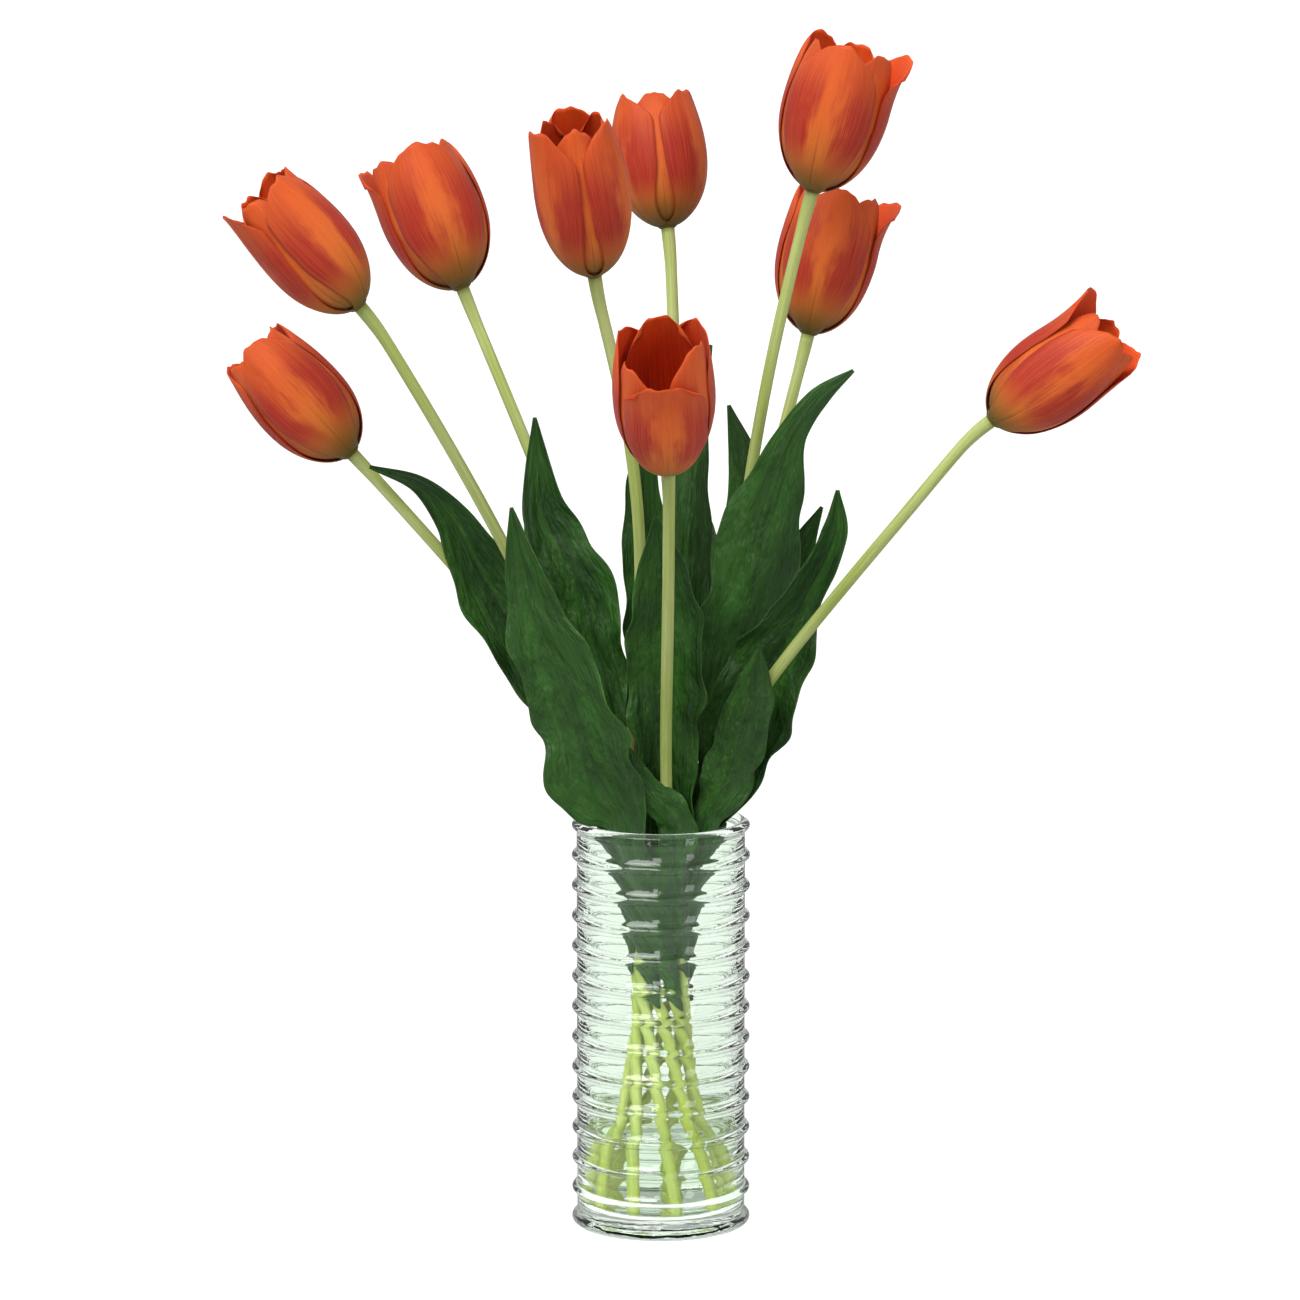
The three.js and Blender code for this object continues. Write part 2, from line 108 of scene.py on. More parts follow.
LEAF_NAMES = ("stem", "side", "foot", "face", "fold", "wave", "midrib")
LEAVES = [dict(zip(LEAF_NAMES, row)) for row in (
    (2, 110, 172, (0.1, -1, 0.4), 24, 3.5, [
     (-30, 1, 232, 8), (-42, 2, 260, 14), (-61, 3, 302, 16), (-86, 2, 343, 20), (-104, 0, 376, 17),
     (-116, -2, 401, 10.5), (-135, -2, 421, 5.5), (-162, 0, 431, 1)]),
    (4, 240, 160, (0.35, 1, -0.1), -14, 4, [
     (-16, -29, 212, 11), (-20, -32, 236, 15), (-29, -36, 252, 23), (-38, -41, 272, 26),
     (-44, -44, 294, 25), (-52, -46, 317, 24), (-66, -49, 350, 18), (-75, -50, 382, 11),
     (-82, -50, 415, 1)]),
    (1, 340, 185, (0.1, -1, 0.1), 20, 3, [
     (-16, 12, 246, 8), (-25, 14, 286, 13), (-36, 18, 325, 15), (-43, 23, 356, 17.5), (-55, 27, 380, 17),
     (-66, 32, 402, 13), (-69, 36, 426, 7.5), (-71, 40, 454, 1)]),
    (5, 260, 185, (0, 1, -0.1), 20, 2.5, [
     (7, 18, 246, 7), (12, 19, 296, 11), (16, 22, 353, 12.5), (17, 26, 398, 11), (18, 30, 431, 9),
     (22, 36, 464, 5), (28, 40, 495, 1)]),
    (4, 60, 198, (0, -1, 0.2), 20, 2.5, [
     (-8, -14, 245, 7), (-7, -18, 303, 12), (-7, -24, 360, 13.5), (-9, -28, 394, 12.5),
     (-10, -32, 428, 9), (-6, -34, 461, 1)]),
    (9, 95, 180, (0, -1, 0.2), 26, 4, [
     (4, -22, 240, 14), (3, -32, 282, 18), (2, -40, 318, 22), (2, -48, 352, 21), (0, -58, 387, 13),
     (-3, -66, 412, 1)]),
    (6, 262, 190, (-0.1, 1, -0.1), 16, 3.5, [
     (29, -7.5, 240, 10), (37, -9, 285, 19), (41, -10, 318, 24), (48, -11, 348, 26), (53, -13, 377, 25),
     (58, -14, 404, 21.5), (65, -16, 428, 14.5), (73, -18, 452, 8.5), (87, -20, 472, 6),
     (106, -20, 487, 1)]),
    (7, 215, 200, (0, 1, -0.1), 20, 2, [
     (19, 9, 245, 6), (28, 12, 280, 8), (37, 15, 326, 11), (43, 19, 370, 12), (47, 23, 402, 10.5),
     (46, 27, 432, 8.5), (38, 31, 462, 1)]),
    (6, 62, 195, (-0.3, -0.9, 0.2), 22, 2, [
     (34, 5, 240, 5.5), (46, 9, 270, 8), (56, 11, 300, 12), (63, 12, 333, 12.5), (71, 12, 360, 10.5),
     (80, 12, 385, 7.5), (90, 12, 407, 1)]),
    (8, 64, 182, (-0.1, -1, 0.2), 18, 4, [
     (27, -13, 236, 13), (38, -16, 258, 18), (45, -19, 283, 24), (53, -21, 304, 25), (63, -24, 326, 22),
     (73, -27, 347, 16), (80, -29, 363, 10), (89, -33, 381, 9), (96, -37, 400, 7.5), (97, -38, 423, 1)]),
    (3, 135, 150, (0.5, -1, 0.3), 22, 3, [
     (-23, 34, 238, 11), (-36, 52, 280, 18), (-50, 70, 318, 20), (-62, 86, 348, 16), (-71, 99, 370, 9),
     (-78, 108, 384, 1)]),
    (5, 82, 165, (0, -1, 0.4), 22, 3.5, [
     (6, 38, 240, 8), (12, 55, 280, 16), (16, 76, 326, 21), (18, 94, 360, 18), (20, 108, 382, 11),
     (22, 120, 396, 1)]),
    (7, 45, 150, (-0.7, -0.7, 0.3), 22, 3, [
     (29, 27, 238, 10), (43, 45, 280, 16), (55, 63, 322, 19), (64, 80, 360, 17), (69, 92, 392, 10),
     (71, 98, 417, 1)]),
    (9, 270, 170, (0.25, 1, -0.1), 16, 0.5, [
     (7, -33, 214, 9), (8, -38, 236, 11.5), (0, -40.3, 248, 10.5), (-6, -40.8, 255, 7.5),
     (-11, -40.5, 262, 6), (-16, -40, 271, 5), (-21, -40, 283, 1)]),
    (8, 250, 172, (0.1, 1, -0.1), 22, 1.5, [
     (21.5, -23.5, 216, 8), (25, -28.5, 236, 8.5), (33, -34, 253, 14), (39, -39, 270, 15),
     (44, -44, 288, 15), (49, -48, 306, 13), (52, -51, 322, 8), (54, -53, 337, 1)]),
)]
print("tulips:", len(TULIPS), "leaves:", len(LEAVES))

# %% [markdown]
# ## Curves that pass through their points
#
# Stems and midribs are smooth curves through a few points. A Catmull-Rom curve passes through every point
# that it is given, and spacing its knots by the root of the distance keeps it from looping where points
# lie close together.

# %% Curves
def unit(v):
    """The vector, or each row of vectors, at length one."""
    v = np.asarray(v, float)
    return v / np.linalg.norm(v, axis=-1, keepdims=True)


def smooth_curve(points):
    """A function of 0 to 1 that gives places on the smooth curve through the points."""
    given = np.asarray(points, float).reshape(len(points), -1)
    full = np.vstack([2 * given[0] - given[1], given, 2 * given[-1] - given[-2]])
    knots = np.linalg.norm(np.diff(full, axis=0), axis=1) ** 0.5

    def at(t):
        place = np.clip(np.atleast_1d(t), 0, 1) * (len(given) - 1)
        i = np.minimum(place.astype(int), len(given) - 2)
        w = (place - i)[:, None]
        p0, p1, p2, p3 = full[i], full[i + 1], full[i + 2], full[i + 3]
        d1 = np.where(knots[i + 1] < 1e-4, 1, knots[i + 1])
        d0 = np.where(knots[i] < 1e-4, d1, knots[i])[:, None]
        d2 = np.where(knots[i + 2] < 1e-4, d1, knots[i + 2])[:, None]
        d1 = d1[:, None]
        leave = ((p1 - p0) / d0 - (p2 - p0) / (d0 + d1) + (p2 - p1) / d1) * d1
        arrive = ((p2 - p1) / d1 - (p3 - p1) / (d1 + d2) + (p3 - p2) / d2) * d1
        square = -3 * p1 + 3 * p2 - 2 * leave - arrive
        cube = 2 * p1 - 2 * p2 + leave + arrive
        return p1 + w * (leave + w * (square + w * cube))

    return at


def evenly(curve, shares):
    """The curve's own parameter at each share of its length."""
    t = np.linspace(0, 1, 201)
    steps = np.linalg.norm(np.diff(curve(t), axis=0), axis=1)
    length = np.concatenate([[0], np.cumsum(steps)])
    return np.interp(shares, length / length[-1], t)


def heading(curve, t):
    """The direction of travel at each t."""
    return unit(curve(np.minimum(t + 1e-4, 1)) - curve(np.maximum(t - 1e-4, 0)))


def polar(radius, degrees, z=0.0):
    return np.array([radius * math.cos(degrees * DEG), radius * math.sin(degrees * DEG), z])


def lean(tilt):
    return unit([tilt[0], tilt[1], 1])


def smoothstep(x, low, high):
    x = np.clip((x - low) / (high - low), 0, 1)
    return x * x * (3 - 2 * x)


# %% [markdown]
# ## The path of a stem
#
# A cut tulip stands on its foot at the bottom of the glass, crosses the bunch on a straight line, leans on
# the rim, and sweeps outwards under its own weight. Just below the flower it turns up again. So each path
# has a straight part, a long bend and a short neck.

# %% Stem paths
def stem_path(tulip):
    """The stem's smooth curve, from its foot in the glass to the bloom."""
    foot = polar(FOOT_RADIUS, tulip["slot"] + TWIST, GLASS["floor"] + GAP + STEM_RADIUS / 4)
    mouth = polar(MOUTH_RADIUS, tulip["slot"], MOUTH_HEIGHT)
    top = np.array(tulip["head"], float)
    bend = top - lean(tulip["bloom_lean"]) * NECK
    low = bend - lean(tulip["stem_lean"]) * NECK
    reach = np.linalg.norm(low - mouth)
    leaving = mouth + unit(mouth - foot) * MOUTH_HOLD * reach
    arriving = low - lean(tulip["stem_lean"]) * NECK_HOLD * reach
    points = [foot + (mouth - foot) * k / 4 for k in range(5)]
    for k in range(1, 9):
        t = k / 8
        points.append((1 - t) ** 3 * mouth + 3 * t * (1 - t) ** 2 * leaving
                      + 3 * t * t * (1 - t) * arriving + t**3 * low)
    for k in range(1, 4):
        t = k / 3
        points.append((1 - t) ** 2 * low + 2 * t * (1 - t) * bend + t * t * top)
    return smooth_curve(points)


def stem_at(path, z):
    """The middle of the stem at the height z."""
    t = np.linspace(0, 1, 2001)
    places = path(t)
    return places[np.searchsorted(places[:, 2], z)]


paths = [stem_path(tulip) for tulip in TULIPS]
print("foot of the first stem:", paths[0](0.0)[0].round(1))

# %% [markdown]
# ## From rows of points to meshes
#
# Every soft surface here is a grid: rows along the piece and columns across it. One helper turns such a
# grid into a mesh, and stores with each point how far along and across the piece it lies. Materials read
# these two numbers later, so a vein or a blush follows the leaf or petal however it bends. A thin sheet is
# closed by a second face a fraction of a millimetre behind the first, with a narrow rim between them.

# %% Mesh helpers
def new_piece(name, points, faces, node, slot, marks=None):
    """A smooth mesh object from points in millimetres, standing for a CAD node, or for none."""
    mesh = bpy.data.meshes.new(name)
    mesh.from_pydata((np.asarray(points) * MM).tolist(), [], [list(map(int, f)) for f in faces])
    mesh.shade_smooth()
    for mark, values in (marks or {}).items():
        layer = mesh.attributes.new(mark, "FLOAT", "POINT")
        layer.data.foreach_set("value", np.asarray(values, np.float32).ravel())
    mesh.update()
    piece = bpy.data.objects.new(name, mesh)
    bpy.context.collection.objects.link(piece)
    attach(piece, "root")
    if node:
        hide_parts(node)
    return piece


def grid_faces(rows, columns, wrap=False):
    """Quads of a grid whose points are stored row by row. wrap joins the last column to the first."""
    quads = []
    for row in range(rows - 1):
        for column in range(columns if wrap else columns - 1):
            a, b = row * columns + column, row * columns + (column + 1) % columns
            quads.append((a, b, b + columns, a + columns))
    return quads


def sheet(middle, thickness):
    """A closed thin sheet round a grid of places. thickness may vary over the grid."""
    rows, columns = middle.shape[:2]
    over = np.gradient(middle, axis=1)
    up = np.gradient(middle, axis=0)
    normal = unit(np.cross(over, up))
    half = (np.broadcast_to(thickness, (rows, columns)) / 2)[..., None]
    points = np.concatenate([middle + normal * half, middle - normal * half]).reshape(-1, 3)
    front = grid_faces(rows, columns)
    count = rows * columns
    back = [tuple(count + i for i in reversed(quad)) for quad in front]
    index = np.arange(count).reshape(rows, columns)
    rim = [*index[0], *index[1:, -1], *index[-1, -2::-1], *index[-2:0:-1, 0]]
    edge = [(b, a, count + a, count + b) for a, b in zip(rim, rim[1:] + rim[:1])]
    return points, front + back + edge


def sheet_marks(across, along, sides, seed):
    """The marks of both faces of a sheet. sides tells the first face from the second."""
    return {"across": np.tile(across.ravel(), 2), "along": np.tile(along.ravel(), 2),
            "inside": np.repeat(sides, across.size), "seed": np.full(2 * across.size, seed)}


def end_fans(segments, last, start, end):
    """Triangles from the points start and end to the first row of a wrapped grid and to its last row."""
    fans = []
    for k in range(segments):
        following = (k + 1) % segments
        fans += [(start, following, k), (end, last + k, last + following)]
    return fans


def lathe(profile, segments):
    """A surface turned round +Z from (radius, z) pairs. The two ends on the axis close it."""
    angles = np.linspace(0, 2 * math.pi, segments, endpoint=False)
    inner = [p for p in profile if p[0] > 0]
    points = np.array([(r * math.cos(a), r * math.sin(a), z) for r, z in inner for a in angles])
    faces = grid_faces(len(inner), segments, wrap=True)
    faces += end_fans(segments, (len(inner) - 1) * segments, len(points), len(points) + 1)
    return np.vstack([points, (0, 0, profile[0][1]), (0, 0, profile[-1][1])]), faces


class Bundle:
    """Collects several grids of points into one mesh, with their marks."""

    def __init__(self, *marks):
        self.points, self.faces = [], []
        self.marks = {mark: [] for mark in marks}
        self.count = 0

    def put(self, points, faces, **marks):
        self.points.append(points)
        self.faces += [tuple(self.count + i for i in face) for face in faces]
        self.count += len(points)
        for mark, values in self.marks.items():
            values.append(np.broadcast_to(marks[mark], len(points)))

    def piece(self, name, node, slot):
        marks = {mark: np.concatenate(values) for mark, values in self.marks.items()}
        return new_piece(name, np.vstack(self.points), self.faces, node, slot, marks)


def fine_noise(x, y, seed):
    """Smooth values in about -1 to 1 over the plane, the same each run."""
    total = np.zeros(np.broadcast(x, y).shape)
    waves = [(1.0, 0.31, 0.0), (-0.57, 1.13, 2.1), (1.71, -0.83, 4.3), (0.43, 2.07, 1.2)]
    for k, (a, b, c) in enumerate(waves):
        total = total + np.sin(a * x + b * y + c + seed * (1.7 + k)) / (1 + 0.4 * k)
    return total / 2.4


print("helpers ready")

# %% [markdown]
# ## The ribbed cylinder
#
# The glass is pressed in a mould: a straight wall with twelve even rings between a beaded foot and a beaded
# rim, and a thick floor. Inside, the wall follows the rings a little. Anything that is the same all the way
# round is best turned from half its outline. The rings are rounded arcs, because they act as small lenses,
# and a flat-sided ring would break each highlight into facets.

# %% The glass
GLASS_SEGMENTS = 160
RING_PITCH = (GLASS["height"] - 2 * GLASS["half"]) / (GLASS["ribs"] + 1)
INNER_SHARE = 0.8  # how much of a ring's reach shows on the inside of the wall
INNER_SPREAD = 3.6  # half the height of the hollow behind a ring
CORNER = 6  # radius of the bend between the floor and the inside of the wall
PLAIN_RIM = 4  # height at the rim where the inside is plain
LIP_WIDTH, LIP_RISE, LIP_STEPS = 5, 1.6, 6  # the water's edge


def ring(z, radius, reach, half):
    """The outline of one rounded ring that stands out from the wall at the height z."""
    spread = np.linspace(-1, 1, 11)
    return [(radius + reach * math.cos(a * math.pi / 2) ** 0.75, z + half * a) for a in spread]


def inner_radius(z):
    """The inside of the wall at the height z: pressed glass follows its rings a little."""
    away = abs((z - GLASS["half"] + RING_PITCH / 2) % RING_PITCH - RING_PITCH / 2)
    hollow = 0.5 + 0.5 * math.cos(math.pi * min(away / INNER_SPREAD, 1))
    low, high = GLASS["floor"] + CORNER, GLASS["height"] - PLAIN_RIM
    inside = smoothstep(z, low, low + 6) * smoothstep(-z, -high, 8 - high)
    return GLASS["radius"] - GLASS["wall"] + INNER_SHARE * GLASS["reach"] * hollow * float(inside)


def glass_outline():
    height, radius, wall, floor, ribs, reach, half = GLASS.values()
    outline = [(0, 1.2), (radius - 9, 1.2), (radius - 6, 0.3), (radius - 3.5, 0.0), (radius - 1.2, 0.2)]
    outline += [(radius + reach * math.sin(a), 3.2 - 3.0 * math.cos(a)) for a in np.linspace(0.5, 2.1, 8)]
    outline += [(radius + 0.5, 5.6), (radius, 6.6)]
    for z in [half + rib * RING_PITCH for rib in range(1, ribs + 1)]:
        outline += [(radius, z - 5)] + ring(z, radius, reach - 0.1, half)
    rim = height - half
    outline += [(radius, rim - 5)] + ring(rim - 0.3, radius, reach - 0.2, half)[:8]
    outline += [(radius - 0.2, height - 0.25), (radius - 1.2, height), (radius - 2.3, height - 0.2)]
    outline += [(radius - wall + 0.3, height - 0.9), (radius - wall, height - 2.2)]
    outline += [(inner_radius(z), z) for z in np.arange(height - 5, floor + CORNER, -1.0)]
    outline += [(radius - wall, floor + CORNER)]
    outline += [(radius - wall - CORNER * (1 - math.cos(a)), floor + CORNER - CORNER * math.sin(a))
                for a in np.linspace(0.25, math.pi / 2, 6)]
    return outline + [(20, floor - 0.3), (0, floor - 0.4)]


glass = new_piece("glass_cylinder", *lathe(glass_outline(), GLASS_SEGMENTS), "vase", "glass")
print("glass faces:", len(glass.data.polygons))

# %% [markdown]
# ## The water
#
# A few centimetres of water stand in the foot of the glass. Water creeps up the wall it touches, so its
# surface ends in a small curved lip. The body is turned from its outline too, and the stems simply stand in
# it.

# %% The water
def water_outline():
    reach = GLASS["radius"] - GLASS["wall"] - GAP
    bottom, level = GLASS["floor"] + GAP, GLASS["floor"] + WATER_DEPTH
    outline = [(0, bottom - 0.3), (reach - CORNER, bottom)]
    outline += [(reach - CORNER + CORNER * math.sin(a), bottom + CORNER - CORNER * math.cos(a))
                for a in np.linspace(0.25, 1.45, 6)]
    outline += [(inner_radius(z) - GAP, z) for z in np.arange(bottom + CORNER + 1, level, 1.0)]
    edge = inner_radius(level) - GAP
    lip = [(edge - LIP_WIDTH * k / LIP_STEPS, level + LIP_RISE * (1 - k / LIP_STEPS) ** 2.5)
           for k in range(LIP_STEPS + 1)]
    return outline + lip + [(reach * 0.5, level), (0, level)]


water = new_piece("water_body", *lathe(water_outline(), GLASS_SEGMENTS), "water", "water")
print("water faces:", len(water.data.polygons))

# %% [markdown]
# ## The stems
#
# A tulip stem is a smooth round rod with faint lengthwise lines, a little thicker where it meets the
# flower, and cut straight across at its foot. A ring of points is carried along the path without twisting,
# so the lines in its finish run straight.

# %% Stems
STEM_SIDES, STEM_RINGS = 20, 110
STEM_TOP, STEM_FOOT = 0.16, 0.05  # how much thicker it is at each end
STEM_LINES = 0.012  # relief of its five lengthwise lines


def ring_frames(path, t):
    """Two directions across the path at each t, carried along it without twist."""
    forward = heading(path, t)
    across = [unit(np.cross(forward[0], (0.0, 0.0, 1.0)) + 1e-9)]
    for k in range(1, len(t)):
        kept = across[-1] - forward[k] * np.dot(across[-1], forward[k])
        across.append(unit(kept))
    across = np.array(across)
    return across, np.cross(forward, across)


def stem_mesh(path):
    v = np.linspace(0, 1, STEM_RINGS)
    t = evenly(path, v)
    middle = path(t)
    side, up = ring_frames(path, t)
    angles = np.linspace(0, 2 * math.pi, STEM_SIDES, endpoint=False)
    width = STEM_RADIUS * (1 + STEM_TOP * smoothstep(v, 0.95, 1) + STEM_FOOT * (1 - smoothstep(v, 0, 0.05)))
    radius = width[:, None] * (1 + STEM_LINES * np.sin(5 * angles)[None, :])
    around = side[:, None] * np.cos(angles)[None, :, None] + up[:, None] * np.sin(angles)[None, :, None]
    points = (middle[:, None] + around * radius[..., None]).reshape(-1, 3)
    faces = grid_faces(STEM_RINGS, STEM_SIDES, wrap=True)
    faces += end_fans(STEM_SIDES, (STEM_RINGS - 1) * STEM_SIDES, len(points), len(points) + 1)
    points = np.vstack([points, middle[0], middle[-1]])
    along = np.concatenate([np.repeat(v, STEM_SIDES), [0, 1]])
    across = np.concatenate([np.tile(np.abs(2 * angles / (2 * math.pi) - 1), STEM_RINGS), [0, 0]])
    return points, faces, {"along": along, "across": across}


stems = []
for number, path in enumerate(paths, 1):
    points, faces, marks = stem_mesh(path)
    marks["seed"] = np.full(len(points), float(number))
    stems.append(new_piece(f"green_stem_{number}", points, faces, f"stem_{number}", "stem", marks))
print("stems:", len(stems))

# %% [markdown]
# ## The blooms
#
# A tulip has three outer petals that stand over three inner ones. Each petal is a strip bent round the
# flower's axis: it leaves the stem almost level, swells, and closes again towards its tip. The outline,
# the swell and the flare of the tips come from the tulip's row. To that the mesh adds what makes it a
# petal: a groove down the back, a ragged lip, edges that curl a little and a gentle unevenness.

# %% Petals
PETAL_ROWS, PETAL_COLUMNS = 44, 25
PETAL_THICK, PETAL_EDGE = 0.62, 0.32  # the second is how much thinner its edges are
INNER_LENGTH = 0.98  # length of an inner petal for each unit of an outer one's
CROWD, BELLY, TIP = 1.35, 0.56, 0.6  # crowding of rows at the foot, lowness of the belly, start of the tip
NARROW, WIDTH, DIP = 0.2, 0.96, 1.4  # width at the foot and in the middle, drop of an outer petal's foot


def bloom_axes(tulip):
    """The bloom's own directions as columns: towards the front, across it, and up its axis."""
    up = lean(tulip["bloom_lean"])
    front = unit(np.array([0, -1, 0]) + up * up[1])
    return np.stack([front, np.cross(up, front), up], axis=1)


def petal_middle(tulip, index, q, v):
    """Places on the middle of one petal. q runs from -1 to 1 across it and v from foot to tip."""
    outer = index % 2 == 0
    seed = tulip["slot"] * 0.13 + index * 2.1
    turn = (tulip["turn"] + 60 * index) * DEG
    radius, flare = tulip["radius"], tulip["flare"][index]
    shortened = 1 - tulip.get("low", (0,) * 6)[index]
    long = (tulip["length"] - PETAL_FOOT) * (1 if outer else INNER_LENGTH) * shortened
    s = 0.012 + 0.988 * v**CROWD
    near_tip = np.clip((s - TIP) / (1 - TIP), 0, 1)
    swell = radius * np.sin(math.pi * tulip["open"] * s**BELLY)
    fill = NARROW + (1 - NARROW) * np.sin(np.minimum(2 * s, 1) * math.pi / 2)
    half = WIDTH * radius * fill * (1 - 0.4 * near_tip**2.6 - 0.1 * near_tip**9)
    half = half * (1 + 0.025 * fine_noise(7 * s, 0 * q, seed) * np.sign(q) * near_tip)
    angle = turn + q * half / np.maximum(swell, half / 0.98)
    layer = 1.6 + 0.6 * s**3 if outer else -1.2 * (q * q + s**3)
    own = math.sin(seed * 12.9898)  # each petal's own character, -1 to 1
    groove = -0.55 * np.exp(-((q / 0.07) ** 2)) * (1 - s) ** 0.6 + 0.25 * np.exp(-((q / 0.2) ** 2)) * s
    edge = (-0.5 if outer else 0.3) * smoothstep(np.abs(q), 0.55, 1) * smoothstep(s, 0.1, 0.3)
    uneven = 0.5 * fine_noise(2.2 * q, 5.5 * s, seed) * smoothstep(s, 0.08, 0.4)
    pleat = 0.1 * np.sin(13 * q + 2 * fine_noise(q, 4 * s, seed)) * smoothstep(s, 0.05, 0.3)
    roll = 1.1 * np.sin((3.6 + own) * q + 2.3 * seed) * near_tip**2
    distance = swell + layer + flare * near_tip**2 + groove + edge + uneven + pleat + roll
    start = PETAL_FOOT - (DIP * (1 - s) ** 6 if outer else 0)
    blunt = 0.13 * (0.25 * q * q + 0.75 * np.abs(q) ** (3.4 + own)) * s**3
    point = (0.002 + 0.01 * own) * np.exp(-((q / 0.22) ** 2)) * near_tip**5
    ragged = 0.017 * fine_noise(7.5 * q, 0 * s, seed) * near_tip**4
    height = start + long * (s - blunt + point + ragged - 0.012 * near_tip**6)
    return np.stack([distance * np.cos(angle), distance * np.sin(angle), height], axis=-1), s


def on_stem(tulip, points):
    """Points given in the bloom's own directions, moved to the end of its stem."""
    return points @ bloom_axes(tulip).T + np.array(tulip["head"], float)


def bloom_mesh(tulip, number):
    bundle = Bundle("along", "across", "inside", "seed")
    q, v = np.meshgrid(np.linspace(-1, 1, PETAL_COLUMNS), np.linspace(0, 1, PETAL_ROWS))
    for index in range(6):
        middle, s = petal_middle(tulip, index, q, v)
        thick = PETAL_THICK - PETAL_EDGE * smoothstep(np.maximum(np.abs(q), s), 0.7, 1)
        points, faces = sheet(middle, thick)
        bundle.put(on_stem(tulip, points), faces, **sheet_marks(q, s, (0.0, 1.0), number * 7.3 + index * 1.9))
    cup = [(0, -0.2), (3.5, -0.1), (5.0, 0.8), (6.4, 2.2), (6.6, 3.2), (5.2, 4.4), (2.5, 5.0), (0, 5.2)]
    points, faces = lathe(cup, 24)
    bundle.put(on_stem(tulip, points), faces, along=0.01, across=0.3, inside=0.0, seed=number * 7.3)
    return bundle


blooms = [bloom_mesh(tulip, k).piece(f"petals_{k}", f"bloom_{k}", "petal")
          for k, tulip in enumerate(TULIPS, 1)]
print("faces in the first bloom:", len(blooms[0].data.polygons))

# %% [markdown]
# ## Inside the blooms
#
# Looking down into an open tulip one sees a three-sided green seed vessel with a pale three-lobed stigma,
# and six dark stamens round it, each a slim filament with a long grooved anther. All of them are turned from
# simple outlines.

# %% Seed vessels and stamens
STAMEN_TILT = 0.28  # radians outwards
STAMEN_FOOT = (4.2, 0, 5.8)


def turned(angle, a, b):
    """The matrix that turns the axis a towards the axis b."""
    matrix = np.eye(3)
    matrix[a, a] = matrix[b, b] = math.cos(angle)
    matrix[b, a], matrix[a, b] = math.sin(angle), -math.sin(angle)
    return matrix


def lobed(points, amount, start, end):
    """Pinches a turned shape into three lobes between two heights."""
    angle = np.arctan2(points[:, 1], points[:, 0])
    share = smoothstep(points[:, 2], start, end)
    grow = 1 + (amount[0] + (amount[1] - amount[0]) * share) * np.cos(3 * angle)
    return points * np.stack([grow, grow, np.ones_like(grow)], axis=1)


def pistil_mesh(tulip):
    outline = [(0, 6.8), (2.2, 6.8), (2.7, 8.5), (2.9, 12), (2.9, 16), (2.6, 20), (2.2, 22.0), (2.4, 22.8),
               (3.6, 23.6), (4.3, 24.6), (4.2, 25.6), (3.2, 26.3), (1.6, 26.6), (0, 26.2)]
    points, faces = lathe(outline, 36)
    shares = (points[:, 2] - 6.8) / 20
    points = lobed(points, (0.07, 0.2), 21, 24.5)
    return on_stem(tulip, points), faces, {"along": shares}


def stamens_mesh(tulip):
    bundle = Bundle("along")
    disc, faces = lathe([(0, 5.5), (4.6, 5.5), (5.0, 5.8), (5.0, 6.2), (4.6, 6.5), (0, 6.5)], 30)
    bundle.put(on_stem(tulip, disc), faces, along=0.0)
    filament = [(0, 0), (0.8, 0.1), (0.75, 3), (0.55, 7), (0.35, 9.6), (0, 9.8)]
    anther = [(0, 8.2), (0.7, 8.5), (1.15, 10), (1.25, 13), (1.1, 17), (0.6, 19.4), (0, 19.8)]
    tilt = turned(STAMEN_TILT, 2, 0)
    for k in range(6):
        turn = turned(k * math.pi / 3, 0, 1)
        for outline, squash, share in ((filament, 0.8, 0.2), (anther, 0.7, 1.0)):
            points, faces = lathe(outline, 14)
            points = points * (squash, 1, 1)
            if outline is anther:
                angle = np.arctan2(points[:, 1], points[:, 0])
                points[:, :2] *= (1 - 0.16 * np.cos(4 * angle))[:, None]
            placed = (points @ tilt.T + STAMEN_FOOT) @ turn.T
            bundle.put(on_stem(tulip, placed), faces, along=share)
    return bundle


pistils, stamens = [], []
for number, tulip in enumerate(TULIPS, 1):
    points, faces, marks = pistil_mesh(tulip)
    pistils.append(new_piece(f"seed_vessel_{number}", points, faces, f"pistil_{number}", "pistil", marks))
    stamens.append(stamens_mesh(tulip).piece(f"anthers_{number}", f"stamens_{number}", "stamen"))
print("seed vessels:", len(pistils), "stamen rings:", len(stamens))

# %% [markdown]
# ## The leaves
#
# A tulip leaf starts as a channel that clasps the stem. It opens into a broad blade with parallel veins,
# edges that ripple because they grew longer than the middle, and a fine tip. The blade is a strip laid
# along the midrib: its cross-section is an arc that is tight round the stem and flattens upwards, and the
# ripple is strongest at the edges. A crease marks the midrib, and a smaller, quicker ripple rides on the
# large one.

# %% Leaves
LEAF_ROWS, LEAF_COLUMNS = 120, 25
SHEATH_RISES, SHEATH_HALVES = (0, 14, 28), (5, 5.2, 6)
LEAF_THICK, LEAF_EDGE = 1.0, 0.55  # the second is how much thinner its edges are
SEAT = STEM_RADIUS + GAP + LEAF_THICK / 2 + 0.6  # from the middle of the stem to the middle of a sheath


